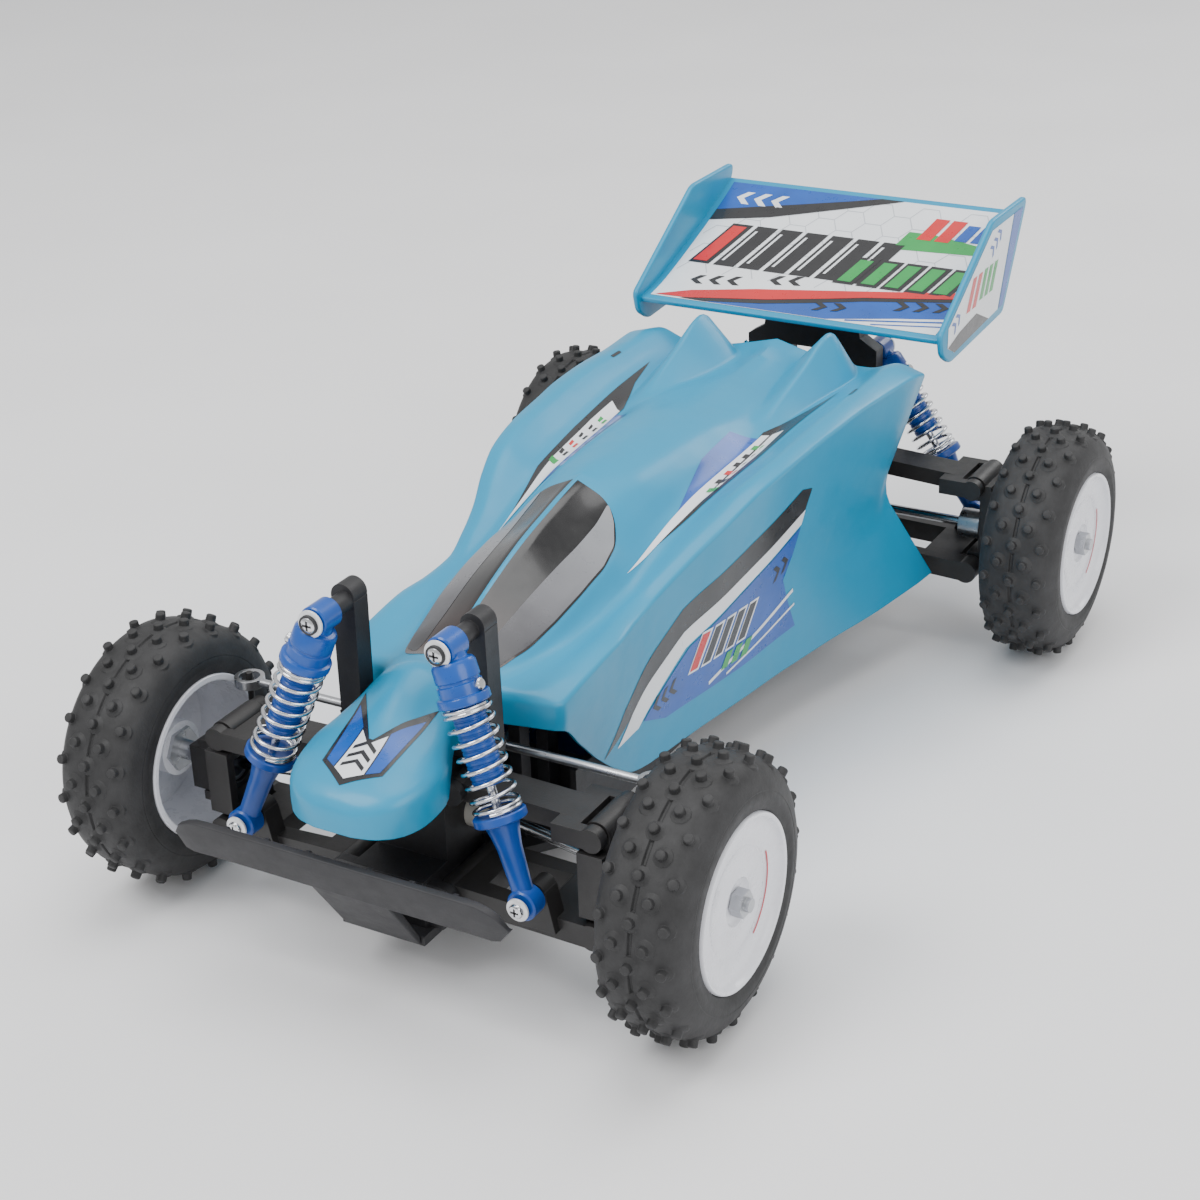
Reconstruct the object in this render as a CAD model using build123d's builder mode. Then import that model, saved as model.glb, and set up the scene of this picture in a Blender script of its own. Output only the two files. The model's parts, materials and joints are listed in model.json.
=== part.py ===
from build123d import *
import os
from math import cos, pi, sin

# A four-wheel-drive, shaft-driven remote control buggy, in millimetres.
# The nose points along -Y, +X is the car's left side and z = 0 is the ground under the tyre spikes.
# Every left-hand piece is modelled and its right-hand partner is its mirror image in the YZ plane.

os.makedirs("parts", exist_ok=True)

# ---- driving dimensions -------------------------------------------------------------------------
WHEELBASE = 257.0
FRONT_Y = -136.5
REAR_Y = FRONT_Y + WHEELBASE
NOSE_OVERHANG = 44.1        # from the front axle to the bumper's leading edge
TAIL_Y = FRONT_Y + 317.1    # the wing's rear tips
WHEEL_R = 41.6              # over the spikes, which is also the axle height
AXLE_Z = WHEEL_R
TYRE_CROWN_R = 39.0         # bare tread, between the spikes
TYRE_WIDTH = 28.2
TYRE_BEAD_R = 25.2
RIM_R = 25.0
RIM_WALL = 1.9
SPIKE_ROWS = 5
SPIKES_PER_ROW = 20
SPIKE_R = 1.5
SPIKE_ROOT = 1.5            # how deep a spike starts in the tread, and in the lower shoulders
SPIKE_ROOT_SHOULDER = 2.6
HUB_DEPTH = 17.0            # from the wheel's outer face back to its hub
HUB_HEX = 6.0               # half the hexagon's width across its flats

FLOOR_Z = 14.0              # underside of the tub, the ground clearance
FLOOR_THICK = 3.0
TUB_HALF_WIDTH = 24.5
TUB_WALL = 2.0
GEARBOX_HALF_WIDTH = 12.0

RUNNING = 0.05              # radial clearance of a pin or journal in its hole
HINGE_PIN_R = 1.5
LOWER_BARREL_R = 4.0        # round ends and lugs of the lower arms
UPPER_BARREL_R = 3.6        # round ends and lugs of the upper arms
LOWER_LUG = 3.4
UPPER_LUG = 2.4
OPEN_PIN_HOLE_R = 2.1       # damper eyes are the opened pivots of each linkage
AXLE_R = 3.0
SCREW_R = 1.45

SPUR_TEETH = 48
PINION_TEETH = 12
MODULE = 0.8                # of the spur gear and the motor pinion
MOTOR_Z = AXLE_Z + MODULE * (SPUR_TEETH + PINION_TEETH) / 2
PROP_R = 2.5
BEVEL_R = 3.7
DIFF_CUP_R = 5.4
GEAR_CHAMBER_R = 11.9
HOUSING_TOP = 54.6          # top of the front gear housing, under the steering crank
SCREW_HEAD_R = 2.9
SCREW_HEAD = 1.8
WING_MOUNT_Z = 116.5        # top of the rear stay, where the wing's pad rests

FIN_TIP_X = 24.7
FIN_TIP_Y = FRONT_Y + 226.5
FIN_TIP_Z = 118.0

BALL_R = 2.6                # the drive shafts' ball ends
INNER_BALL_X = dict(front=19.0, rear=20.0)
OUTER_BALL_X = dict(front=68.6, rear=66.2)

# Each corner of the suspension: x and z of its arm pivots and the reach of its dampers.
FRONT = dict(
    side="front", axle_y=FRONT_Y, diff_y=FRONT_Y + 10.0, wheel_x=75.6,
    inner=(17.0, 27.0), outer=(63.0, 26.0), upper_rise=30.0, upper_face=8.6, cup_x=65.5,
    arm_half=13.0, upper_half=6.0,
    damper_top=(20.7, FRONT_Y - 10.0, 104.5), damper_foot=(47.4, FRONT_Y - 19.9, 37.5),
    arm_edge=FRONT_Y - 15.5, towards=-1,
)
REAR = dict(
    side="rear", axle_y=REAR_Y, diff_y=REAR_Y, wheel_x=81.2,
    inner=(20.0, 31.0), outer=(70.0, 29.0), upper_rise=30.0, upper_face=8.8, cup_x=63.0,
    arm_half=15.0, upper_half=6.0,
    damper_top=(21.0, REAR_Y + 19.5, 94.4), damper_foot=(60.5, REAR_Y + 19.5, 37.4),
    arm_edge=REAR_Y + 15.5, towards=1,
)


def save(part, name):
    """Write one finished piece to its own STEP file."""
    part.label = name
    export_step(part, f"parts/{name}.step")


def save_pair(part, front_or_rear, name):
    """Write a left-hand piece and its mirror image."""
    save(part, f"{front_or_rear}_left_{name}")
    save(mirror(part, about=Plane.YZ), f"{front_or_rear}_right_{name}")


def plane_y(y):
    """A sketch plane across the car at y, with sketch x along X and sketch y along Z."""
    return Plane.XZ.offset(-y)


def plane_x(x):
    """A sketch plane along the car at x, with sketch x along Y and sketch y along Z."""
    return Plane.YZ.offset(x)


def wheel_plane(axle_y):
    """A sketch plane through a wheel axis: sketch x along X, sketch y outwards from the axis."""
    return Plane(origin=(0, axle_y, AXLE_Z), x_dir=(1, 0, 0), z_dir=(0, -1, 0))


def wheel_axis(axle_y):
    return Axis((0, axle_y, AXLE_Z), (1, 0, 0))


def along(start, end):
    """A plane at start whose normal points to end."""
    return Plane(origin=start, z_dir=Vector(*end) - Vector(*start))


def block(x0, x1, y0, y1, z0, z1, mode=Mode.ADD):
    """A rectangular block between two corners; it joins or cuts the part being built."""
    with Locations(((x0 + x1) / 2, (y0 + y1) / 2, (z0 + z1) / 2)):
        Box(x1 - x0, y1 - y0, z1 - z0, mode=mode)


def disc_y(x, z, y0, y1, radius, mode=Mode.ADD):
    """A round disc or bore along Y from y0 to y1; it joins or cuts the part being built."""
    with Locations(Location((x, (y0 + y1) / 2, z), (90, 0, 0))):
        Cylinder(radius, abs(y1 - y0), mode=mode)


def disc_x(y, z, x0, x1, radius, mode=Mode.ADD):
    """A round disc or bore along X from x0 to x1; it joins or cuts the part being built."""
    with Locations(Location(((x0 + x1) / 2, y, z), (0, 90, 0))):
        Cylinder(radius, abs(x1 - x0), mode=mode)


# ---- wheels -------------------------------------------------------------------------------------
def make_tyre(corner):
    """A hollow tyre with a rounded tread and staggered rows of round spikes."""
    x0 = corner["wheel_x"]
    x1 = x0 + TYRE_WIDTH
    shoulder = 6.0
    rubber = 2.4
    with BuildPart() as tyre:
        with BuildSketch(wheel_plane(corner["axle_y"])):
            with BuildLine():
                Polyline(
                    (x0, TYRE_BEAD_R), (x0, TYRE_BEAD_R + 6.5), (x0 + 1.6, TYRE_CROWN_R - 4.5),
                    (x0 + shoulder, TYRE_CROWN_R), (x1 - shoulder, TYRE_CROWN_R),
                    (x1 - 1.6, TYRE_CROWN_R - 4.5), (x1, TYRE_BEAD_R + 6.5), (x1, TYRE_BEAD_R),
                    (x1 - 4, TYRE_BEAD_R), (x1 - 4, TYRE_BEAD_R + 2), (x1 - rubber, TYRE_BEAD_R + 6),
                    (x1 - shoulder, TYRE_CROWN_R - rubber), (x0 + shoulder, TYRE_CROWN_R - rubber),
                    (x0 + rubber, TYRE_BEAD_R + 6), (x0 + 4, TYRE_BEAD_R + 2), (x0 + 4, TYRE_BEAD_R),
                    close=True,
                )
            make_face()
        revolve(axis=wheel_axis(corner["axle_y"]))
        with Locations(*spike_planes(corner, x0, x1)):
            Cylinder(
                SPIKE_R, WHEEL_R - TYRE_CROWN_R + SPIKE_ROOT,
                align=(Align.CENTER, Align.CENTER, Align.MIN),
            )
    return tyre.part


def spike_planes(corner, x0, x1):
    """Planes at the roots of the spikes, each with its normal pointing away from the axle."""
    planes = []
    margin = 5.0
    for row in range(SPIKE_ROWS):
        x = x0 + margin + (x1 - x0 - 2 * margin) * row / (SPIKE_ROWS - 1)
        on_shoulder = row in (0, SPIKE_ROWS - 1)
        foot = TYRE_CROWN_R - (SPIKE_ROOT_SHOULDER if on_shoulder else SPIKE_ROOT)
        for k in range(SPIKES_PER_ROW):
            angle = 2 * pi * (k + 0.5 * (row % 2)) / SPIKES_PER_ROW
            away = Vector(0, sin(angle), cos(angle))
            origin = Vector(x, corner["axle_y"], AXLE_Z) + away * foot
            planes.append(Plane(origin=origin, x_dir=(1, 0, 0), z_dir=away))
    return planes


def make_rim(corner):
    """A white dish wheel: barrel, shallow dish and a hub that fits the axle's hexagon."""
    x0 = corner["wheel_x"] + 0.3
    x1 = corner["wheel_x"] + TYRE_WIDTH
    hub_back = x1 - HUB_DEPTH
    with BuildPart() as rim:
        with BuildSketch(wheel_plane(corner["axle_y"])):
            with BuildLine():
                Polyline(
                    (x0, RIM_R), (x1, RIM_R), (x1, RIM_R - RIM_WALL), (x1 - 3.5, 10.5),
                    (x1 - 3.5, AXLE_R + RUNNING), (hub_back, AXLE_R + RUNNING), (hub_back, 8.5),
                    (x1 - 5.8, 8.5), (x1 - 4.5, RIM_R - RIM_WALL - 3), (x0, RIM_R - RIM_WALL),
                    close=True,
                )
            make_face()
        revolve(axis=wheel_axis(corner["axle_y"]))
        with BuildSketch(Plane.YZ.offset(hub_back)):
            with Locations((corner["axle_y"], AXLE_Z)):
                RegularPolygon(HUB_HEX + RUNNING, 6, major_radius=False)
        extrude(amount=4.0, mode=Mode.SUBTRACT)
    return rim.part


def make_axle(corner):
    """A stub axle with a drive cup, a hexagon that turns the wheel and a lock nut on its end."""
    y = corner["axle_y"]
    rim_x1 = corner["wheel_x"] + TYRE_WIDTH
    hub_back = rim_x1 - HUB_DEPTH
    cup_x = corner["cup_x"]
    cup_end = cup_x + 7.7
    nut_bore = 2.0
    nut_x = rim_x1 - 3.4
    with BuildPart() as axle:
        with BuildSketch(wheel_plane(y)):
            with BuildLine():
                Polyline(
                    (cup_x, 4.1), (cup_x, 5.2), (cup_end, 5.2), (cup_end, AXLE_R), (nut_x, AXLE_R),
                    (nut_x, nut_bore), (rim_x1 + 1.5, nut_bore), (rim_x1 + 1.5, 0), (cup_x + 6.2, 0),
                    (cup_x + 6.2, 4.1),
                    close=True,
                )
            make_face()
        revolve(axis=wheel_axis(y))
        with BuildSketch(Plane.YZ.offset(hub_back - 1.2)):
            with Locations((y, AXLE_Z)):
                RegularPolygon(HUB_HEX, 6, major_radius=False)
        extrude(amount=5.0)
        with BuildSketch(Plane.YZ.offset(nut_x + 0.05)):
            with Locations((y, AXLE_Z)):
                RegularPolygon(3.5, 6, major_radius=False)
                Circle(nut_bore + 0.02, mode=Mode.SUBTRACT)
        extrude(amount=3.4)
    return axle.part


# ---- suspension ---------------------------------------------------------------------------------
def make_lower_arm(corner):
    """A wide wishbone with a barrel at the gearbox, a fork at the hub and the damper's pin."""
    (xi, zi), (xo, zo) = corner["inner"], corner["outer"]
    y = corner["axle_y"]
    half = corner["arm_half"]
    foot = corner["damper_foot"]
    towards = corner["towards"]
    thick = 7.0
    fork_gap = 8.0
    pin_end = foot[1] + towards * 4.8
    with BuildPart() as arm:
        with BuildSketch(plane_y(y - half)):
            with BuildLine():
                Polyline(
                    (xi, zi - thick / 2), (xo, zo - thick / 2), (xo, zo + thick / 2), (xi, zi + thick / 2),
                    close=True,
                )
            make_face()
            with Locations((xi, zi), (xo, zo)):
                Circle(LOWER_BARREL_R)
        extrude(amount=-2 * half)
        # lightening window between the front and rear legs
        with BuildSketch(Plane.XY.offset(zo - 10)):
            with BuildLine():
                Polyline(
                    (xi + 10, y - half + 6), (xo - 17, y - half + 5), (xo - 17, y + half - 5),
                    (xi + 10, y + half - 6),
                    close=True,
                )
            make_face()
        extrude(amount=20, mode=Mode.SUBTRACT)
        # fork gap for the hub carrier
        with BuildSketch(Plane.XY.offset(zo - 10)):
            with Locations((xo + 0.6, y)):
                Rectangle(10.4, 2 * fork_gap)
        extrude(amount=20, mode=Mode.SUBTRACT)
        disc_y(xo, zo, y - half, y + half, HINGE_PIN_R)
        disc_y(xi, zi, y - half - 1, y + half + 1, HINGE_PIN_R + RUNNING, mode=Mode.SUBTRACT)
        # boss and pin for the damper's lower eye
        with BuildSketch(plane_y(y + towards * (half - 4))):
            with BuildLine():
                Polyline(
                    (foot[0] - 6, zo), (foot[0] + 6, zo), (foot[0] + 3.2, foot[2] + 1),
                    (foot[0] - 3.2, foot[2] + 1),
                    close=True,
                )
            make_face()
            with Locations((foot[0], foot[2])):
                Circle(3.2)
        extrude(amount=-(corner["arm_edge"] - (y + towards * (half - 4))))
        disc_y(foot[0], foot[2], corner["arm_edge"], pin_end, HINGE_PIN_R)
    return arm.part


def make_upper_arm(corner):
    """The upper link, parallel to the lower arm, with a barrel and a fork."""
    (xi, zi), (xo, zo) = corner["inner"], corner["outer"]
    rise = corner["upper_rise"]
    y = corner["axle_y"]
    half = corner["upper_half"]
    fork = 11.5
    thick = 5.6
    with BuildPart() as arm:
        with BuildSketch(plane_y(y - half)):
            with BuildLine():
                Polyline(
                    (xi, zi + rise - thick / 2), (xo - 8, zo + rise - thick / 2),
                    (xo - 8, zo + rise + thick / 2), (xi, zi + rise + thick / 2),
                    close=True,
                )
            make_face()
            with Locations((xi, zi + rise)):
                Circle(UPPER_BARREL_R)
        extrude(amount=-2 * half)
        with BuildSketch(plane_y(y - fork)):
            with BuildLine():
                Polyline(
                    (xo - 12, zo + rise - thick / 2), (xo, zo + rise - thick / 2),
                    (xo, zo + rise + thick / 2), (xo - 12, zo + rise + thick / 2),
                    close=True,
                )
            make_face()
            with Locations((xo, zo + rise)):
                Circle(UPPER_BARREL_R)
        extrude(amount=-2 * fork)
        with BuildSketch(Plane.XY.offset(zo + rise - 10)):
            with Locations((xo + 1, y)):
                Rectangle(11.4, 16.0)
        extrude(amount=20, mode=Mode.SUBTRACT)
        disc_y(xo, zo + rise, y - fork, y + fork, HINGE_PIN_R)
        disc_y(xi, zi + rise, y - half - 1, y + half + 1, HINGE_PIN_R + RUNNING, mode=Mode.SUBTRACT)
    return arm.part


KINGPIN_X = 69.0
KINGPIN_R = 2.0
KNUCKLE_LOW = 34.6
KNUCKLE_HIGH = 48.6
STEER_ARM = 14.0            # from the kingpin back to the tie-rod pin
TIE_PIN_R = 1.0
TIE_EYE_R = 4.6
TIE_EYE_HOLE_R = 3.2        # the tie-rod eyes are opened pivots too
TIE_EYE_HALF = 1.4          # half the thickness of an eye
TIE_ROD_R = 1.3
TIE_ROD_Z = 62.3


def pivot_lug(x, z, y, half=7.5):
    """A round lug along Y for an arm's outer hinge pin."""
    disc_y(x, z, y - half, y + half, LOWER_BARREL_R)


def pivot_hole(x, z, y, half=7.5):
    """The running bore through a pivot lug."""
    disc_y(x, z, y - half - 1, y + half + 1, HINGE_PIN_R + RUNNING, mode=Mode.SUBTRACT)


def make_front_hub_carrier():
    """A C-shaped carrier between the two front arms; the knuckle steers between its plates."""
    y = FRONT_Y
    xo, zo = FRONT["outer"]
    zu = zo + FRONT["upper_rise"]
    low_plate, high_plate = 31.4, 51.8
    with BuildPart() as carrier:
        block(xo - 4, xo + 4, y - 7.5, y + 7.5, zo, KNUCKLE_LOW - 0.3)
        block(xo - 4, xo + 4, y - 7.5, y + 7.5, KNUCKLE_HIGH + 0.3, zu)
        block(xo - 4, KINGPIN_X + 4, y - 7.5, y + 7.5, low_plate, KNUCKLE_LOW - 0.3)
        block(xo - 4, KINGPIN_X + 4, y - 7.5, y + 7.5, KNUCKLE_HIGH + 0.3, high_plate)
        block(xo - 4, xo + 4, y - 12, y - 7.5, low_plate, KNUCKLE_LOW - 0.3)
        block(xo - 4, xo + 4, y - 12, y - 7.5, KNUCKLE_HIGH + 0.3, high_plate)
        block(xo - 4, xo + 4, y - 12, y - 9, low_plate, high_plate)
        pivot_lug(xo, zo, y)
        pivot_lug(xo, zu, y)
        pivot_hole(xo, zo, y)
        pivot_hole(xo, zu, y)
        with BuildSketch(Plane.XY.offset(low_plate - 1)):
            with Locations((KINGPIN_X, y)):
                Circle(KINGPIN_R + RUNNING)
        extrude(amount=30, mode=Mode.SUBTRACT)
    return carrier.part


def make_front_knuckle():
    """The steering knuckle: kingpins, the wheel bearing and an arm with the tie-rod's pin."""
    y = FRONT_Y
    x0, x1 = KINGPIN_X - 4.5, KINGPIN_X + 8.0
    with BuildPart() as knuckle:
        block(x0, x1, y - 7.2, y + 7.2, KNUCKLE_LOW, KNUCKLE_HIGH)
        disc_x(y, AXLE_Z, x0 - 1, x0 + 9.3, 5.7, mode=Mode.SUBTRACT)
        disc_x(y, AXLE_Z, x0, x1 + 1, AXLE_R + RUNNING, mode=Mode.SUBTRACT)
        with BuildSketch(Plane.XY.offset(31.6)):
            with Locations((KINGPIN_X, y)):
                Circle(KINGPIN_R)
        extrude(amount=KNUCKLE_LOW - 31.6)
        with BuildSketch(Plane.XY.offset(KNUCKLE_HIGH)):
            with Locations((KINGPIN_X, y)):
                Circle(KINGPIN_R)
        extrude(amount=3.0)
        block(KINGPIN_X - 3.2, KINGPIN_X + 3.2, y + 7, y + STEER_ARM, 37, 46)
        with BuildSketch(Plane.XY.offset(37)):
            with Locations((KINGPIN_X, y + STEER_ARM)):
                Circle(3.2)
        extrude(amount=9)
        with BuildSketch(Plane.XY.offset(45)):
            with Locations((KINGPIN_X, y + STEER_ARM)):
                Circle(TIE_PIN_R)
        extrude(amount=TIE_ROD_Z + 2.6 - 45)
    return knuckle.part


def make_rear_hub_carrier():
    """The rear upright, which joins both arms and carries the wheel bearing."""
    y = REAR_Y
    xo, zo = REAR["outer"]
    zu = zo + REAR["upper_rise"]
    with BuildPart() as carrier:
        block(xo + 2, xo + 11.5, y - 7.5, y + 7.5, zo + 1, zu - 1)
        block(xo - 2, xo + 6, y - 7.5, y + 7.5, zo - 1, zo + 5)
        block(xo - 2, xo + 6, y - 7.5, y + 7.5, zu - 5, zu + 1)
        pivot_lug(xo, zo, y)
        pivot_lug(xo, zu, y)
        pivot_hole(xo, zo, y)
        pivot_hole(xo, zu, y)
        disc_x(y, AXLE_Z, xo - 5, xo + 15, AXLE_R + RUNNING, mode=Mode.SUBTRACT)
    return carrier.part


def make_drive_shaft(corner):
    """A steel dogbone shaft between the differential's cup and the axle's cup."""
    inner_ball = Vector(INNER_BALL_X[corner["side"]], corner["diff_y"], AXLE_Z)
    outer_ball = Vector(OUTER_BALL_X[corner["side"]], corner["axle_y"], AXLE_Z)
    shaft_r = 1.7
    direction = (outer_ball - inner_ball).normalized()
    length = (outer_ball - inner_ball).length
    neck = (BALL_R**2 - shaft_r**2) ** 0.5
    with BuildPart() as shaft:
        with BuildSketch(Plane(origin=inner_ball, x_dir=direction, z_dir=(0, 0, 1))):
            with BuildLine():
                ThreePointArc((-BALL_R, 0), (0, BALL_R), (neck, shaft_r))
                Line((neck, shaft_r), (length - neck, shaft_r))
                ThreePointArc((length - neck, shaft_r), (length, BALL_R), (length + BALL_R, 0))
                Line((length + BALL_R, 0), (-BALL_R, 0))
            make_face()
        revolve(axis=Axis(inner_ball, direction))
    return shaft.part


# ---- dampers ------------------------------------------------------------------------------------
CAP_R = 6.4
CAP_START = 3.7             # the cap begins below the bolt head that holds its eye
CYLINDER_R = 4.7
CYLINDER_BORE_R = 3.5
SPRING_INNER_R = 5.4
SPRING_OUTER_R = 7.2
DAMPER_EYE_HALF = 4.0       # half the thickness of the upper eye
ROD_EYE_HALF = 3.0


def damper_marks(corner):
    """Distances down the damper from its top bolt: cap, cylinder end, spring seat, lower eye."""
    top, foot = Vector(*corner["damper_top"]), Vector(*corner["damper_foot"])
    length = (foot - top).length
    return dict(cap=16.0, cylinder=length - 34.0, seat=length - 25.8, eye=length)


def damper_plane(corner, distance=0.0):
    """A plane across the damper's axis, with its normal pointing down the damper."""
    base = along(corner["damper_top"], corner["damper_foot"])
    return base.offset(distance)


def make_damper_body(corner):
    """The damper's cap, with its upper eye, and its hollow cylinder."""
    marks = damper_marks(corner)
    x, y, z = corner["damper_top"]
    with BuildPart() as body:
        with BuildSketch(damper_plane(corner, CAP_START)):
            Circle(CAP_R)
        extrude(amount=marks["cap"] - CAP_START)
        with BuildSketch(damper_plane(corner, marks["cap"])):
            Circle(CYLINDER_R)
        extrude(amount=marks["cylinder"] - marks["cap"])
        disc_y(x, z, y - DAMPER_EYE_HALF, y + DAMPER_EYE_HALF, 5.6)
        with BuildSketch(damper_plane(corner, marks["cap"] - 5)):
            Circle(CYLINDER_BORE_R)
        extrude(amount=marks["cylinder"], mode=Mode.SUBTRACT)
        disc_y(x, z, y - 8.0, y + 8.0, HINGE_PIN_R + RUNNING, mode=Mode.SUBTRACT)
    return body.part


def make_damper_rod(corner):
    """The piston and rod with the spring's lower seat and the rod end's eye."""
    marks = damper_marks(corner)
    x, y, z = corner["damper_foot"]
    piston = marks["cylinder"] - 8.0
    with BuildPart() as rod:
        with BuildSketch(damper_plane(corner, piston)):
            Circle(CYLINDER_BORE_R - RUNNING)
        extrude(amount=3.0)
        with BuildSketch(damper_plane(corner, piston)):
            Circle(1.25)
        extrude(amount=marks["seat"] + 1 - piston)
        with BuildSketch(damper_plane(corner, marks["seat"])):
            Circle(SPRING_OUTER_R + 0.2)
        extrude(amount=2.6)
        with BuildSketch(damper_plane(corner, marks["seat"] + 2)):
            Circle(3.9)
        extrude(amount=marks["eye"] - marks["seat"] - 2)
        disc_y(x, z, y - ROD_EYE_HALF, y + ROD_EYE_HALF, 4.4)
        # flatten the rod end to the eye's thickness
        block(x - 15, x + 15, y - 12, y - ROD_EYE_HALF, z - 10, z + 4.6, mode=Mode.SUBTRACT)
        block(x - 15, x + 15, y + ROD_EYE_HALF, y + 12, z - 10, z + 4.6, mode=Mode.SUBTRACT)
        disc_y(x, z, y - 8.0, y + 8.0, OPEN_PIN_HOLE_R, mode=Mode.SUBTRACT)
    return rod.part


def make_spring(corner):
    """The coil spring's envelope: a tube between the cap and the lower seat."""
    marks = damper_marks(corner)
    with BuildPart() as spring:
        with BuildSketch(damper_plane(corner, marks["cap"] + 0.1)):
            Circle(SPRING_OUTER_R)
            Circle(SPRING_INNER_R, mode=Mode.SUBTRACT)
        extrude(amount=marks["seat"] - marks["cap"] - 0.2)
    return spring.part


# ---- chassis ------------------------------------------------------------------------------------
BATTERY_Y = (FRONT_Y + 64, FRONT_Y + 164)
SWITCH_Y = FRONT_Y + 178
SWITCH_X = 12.0
FRONT_SCREWS = [(x, FRONT_Y + dy) for x in (-8, 8) for dy in (-12, 26)]
REAR_SCREWS = [(x, REAR_Y + dy) for x in (-8, 8) for dy in (-16, 22)]


def make_chassis_tub():
    """A moulded tub: flat floor, side walls round the battery bay and holes for the screws."""
    y0, y1 = FRONT_Y - 22, REAR_Y + 26
    with BuildPart() as tub:
        with BuildSketch(Plane.XY.offset(FLOOR_Z)):
            with BuildLine():
                Polyline(
                    (-14, y0), (14, y0), (14, FRONT_Y + 30), (TUB_HALF_WIDTH, FRONT_Y + 44),
                    (TUB_HALF_WIDTH, REAR_Y - 26), (16, REAR_Y - 16), (16, y1), (-16, y1),
                    (-16, REAR_Y - 16), (-TUB_HALF_WIDTH, REAR_Y - 26),
                    (-TUB_HALF_WIDTH, FRONT_Y + 44), (-14, FRONT_Y + 30),
                    close=True,
                )
            make_face()
        extrude(amount=FLOOR_THICK)
        for side in (-1, 1):
            x = side * (TUB_HALF_WIDTH - TUB_WALL / 2)
            block(x - TUB_WALL / 2, x + TUB_WALL / 2, FRONT_Y + 46, REAR_Y - 28, FLOOR_Z, 38)
        for y in (FRONT_Y + 60, FRONT_Y + 168):
            block(-TUB_HALF_WIDTH, TUB_HALF_WIDTH, y - 1, y + 1, FLOOR_Z, 34)
        with Locations(*[(x, y, FLOOR_Z) for x, y in FRONT_SCREWS + REAR_SCREWS]):
            Cylinder(SCREW_R + RUNNING, 3 * FLOOR_THICK, mode=Mode.SUBTRACT)
            Cylinder(SCREW_HEAD_R + 0.1, 2 * SCREW_HEAD, mode=Mode.SUBTRACT)
        block(
            SWITCH_X - 3, SWITCH_X + 3, SWITCH_Y - 7, SWITCH_Y + 7, FLOOR_Z, FLOOR_Z + FLOOR_THICK,
            mode=Mode.SUBTRACT,
        )
    return tub.part


def make_chassis_screws():
    """Pan-head screws from below that hold both gearboxes to the tub."""
    with BuildPart() as screws:
        for x, y in FRONT_SCREWS + REAR_SCREWS:
            with BuildSketch(Plane.XY.offset(FLOOR_Z + 0.2)):
                with Locations((x, y)):
                    Circle(SCREW_HEAD_R)
            extrude(amount=SCREW_HEAD - 0.2)
            with BuildSketch(Plane.XY.offset(FLOOR_Z + SCREW_HEAD)):
                with Locations((x, y)):
                    Circle(SCREW_R)
            extrude(amount=7.0)
            with BuildSketch(Plane.XY.offset(FLOOR_Z)):
                with Locations((x, y)):
                    Rectangle(3.4, 0.7)
                    Rectangle(0.7, 3.4)
            extrude(amount=0.9, mode=Mode.SUBTRACT)
    return screws.part


def make_front_bumper():
    """An upturned blade ahead of the tub, on a sloping skid plate."""
    front = FRONT_Y - NOSE_OVERHANG
    top, bottom = 50.0, 38.0
    half = 55.0
    with BuildPart() as bumper:
        # side profile of the skid and the blade, as wide as the tub's nose
        with BuildSketch(plane_x(-13)):
            with BuildLine():
                Polyline(
                    (FRONT_Y - 22.2, FLOOR_Z), (FRONT_Y - 22.2, FLOOR_Z + 3), (front + 6, bottom + 3),
                    (front + 2.5, top), (front, top), (front + 3, bottom),
                    close=True,
                )
            make_face()
        extrude(amount=26)
        # the wide blade
        with BuildSketch(plane_x(-half)):
            with BuildLine():
                Polyline(
                    (front + 3, bottom), (front + 7.5, bottom + 1.5), (front + 5.5, bottom + 4),
                    (front + 2.5, top), (front, top),
                    close=True,
                )
            make_face()
        extrude(amount=2 * half)
    return bumper.part


def arm_lugs(corner, floor):
    """The lugs on both sides of a gearbox and the pins that its four arms hinge on."""
    y = corner["axle_y"]
    xi, zi = corner["inner"]
    zu = zi + corner["upper_rise"]
    lower = corner["arm_half"] + LOWER_LUG + 0.2
    upper = corner["upper_face"]
    for s in (-1, 1):
        inside, outside = min(0, s * xi), max(0, s * xi)
        for face_y in (y - lower, y + lower - LOWER_LUG):
            block(inside, outside, face_y, face_y + LOWER_LUG, floor, zi + LOWER_BARREL_R)
            disc_y(s * xi, zi, face_y, face_y + LOWER_LUG, LOWER_BARREL_R)
        for face_y in (y - upper, y + upper - UPPER_LUG):
            block(inside, outside, face_y, face_y + UPPER_LUG, zu - UPPER_BARREL_R, zu + UPPER_BARREL_R)
            disc_y(s * xi, zu, face_y, face_y + UPPER_LUG, UPPER_BARREL_R)
        disc_y(s * xi, zi, y - lower + 0.6, y + lower - 0.6, HINGE_PIN_R)
        disc_y(s * xi, zu, y - upper + 0.6, y + upper - 0.6, HINGE_PIN_R)


def gear_chamber(y):
    """The round chamber for the differential in a gearbox, and its two output journals."""
    w = GEARBOX_HALF_WIDTH
    disc_x(y, AXLE_Z, 2 - w, w - 2, GEAR_CHAMBER_R, mode=Mode.SUBTRACT)
    disc_x(y, AXLE_Z, -w - 1, w + 1, DIFF_CUP_R + RUNNING, mode=Mode.SUBTRACT)


def damper_bolt(x, z, eye_y, root_y, away):
    """A bolt along Y that carries a damper's upper eye: shank, collar behind the eye, round head."""
    head = eye_y + away * (DAMPER_EYE_HALF + 0.7)
    disc_y(x, z, root_y, head + away * SCREW_HEAD / 2, HINGE_PIN_R)
    disc_y(x, z, root_y, eye_y - away * (DAMPER_EYE_HALF + 0.3), SCREW_HEAD_R)
    disc_y(x, z, head, head + away * SCREW_HEAD, SCREW_HEAD_R)


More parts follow.
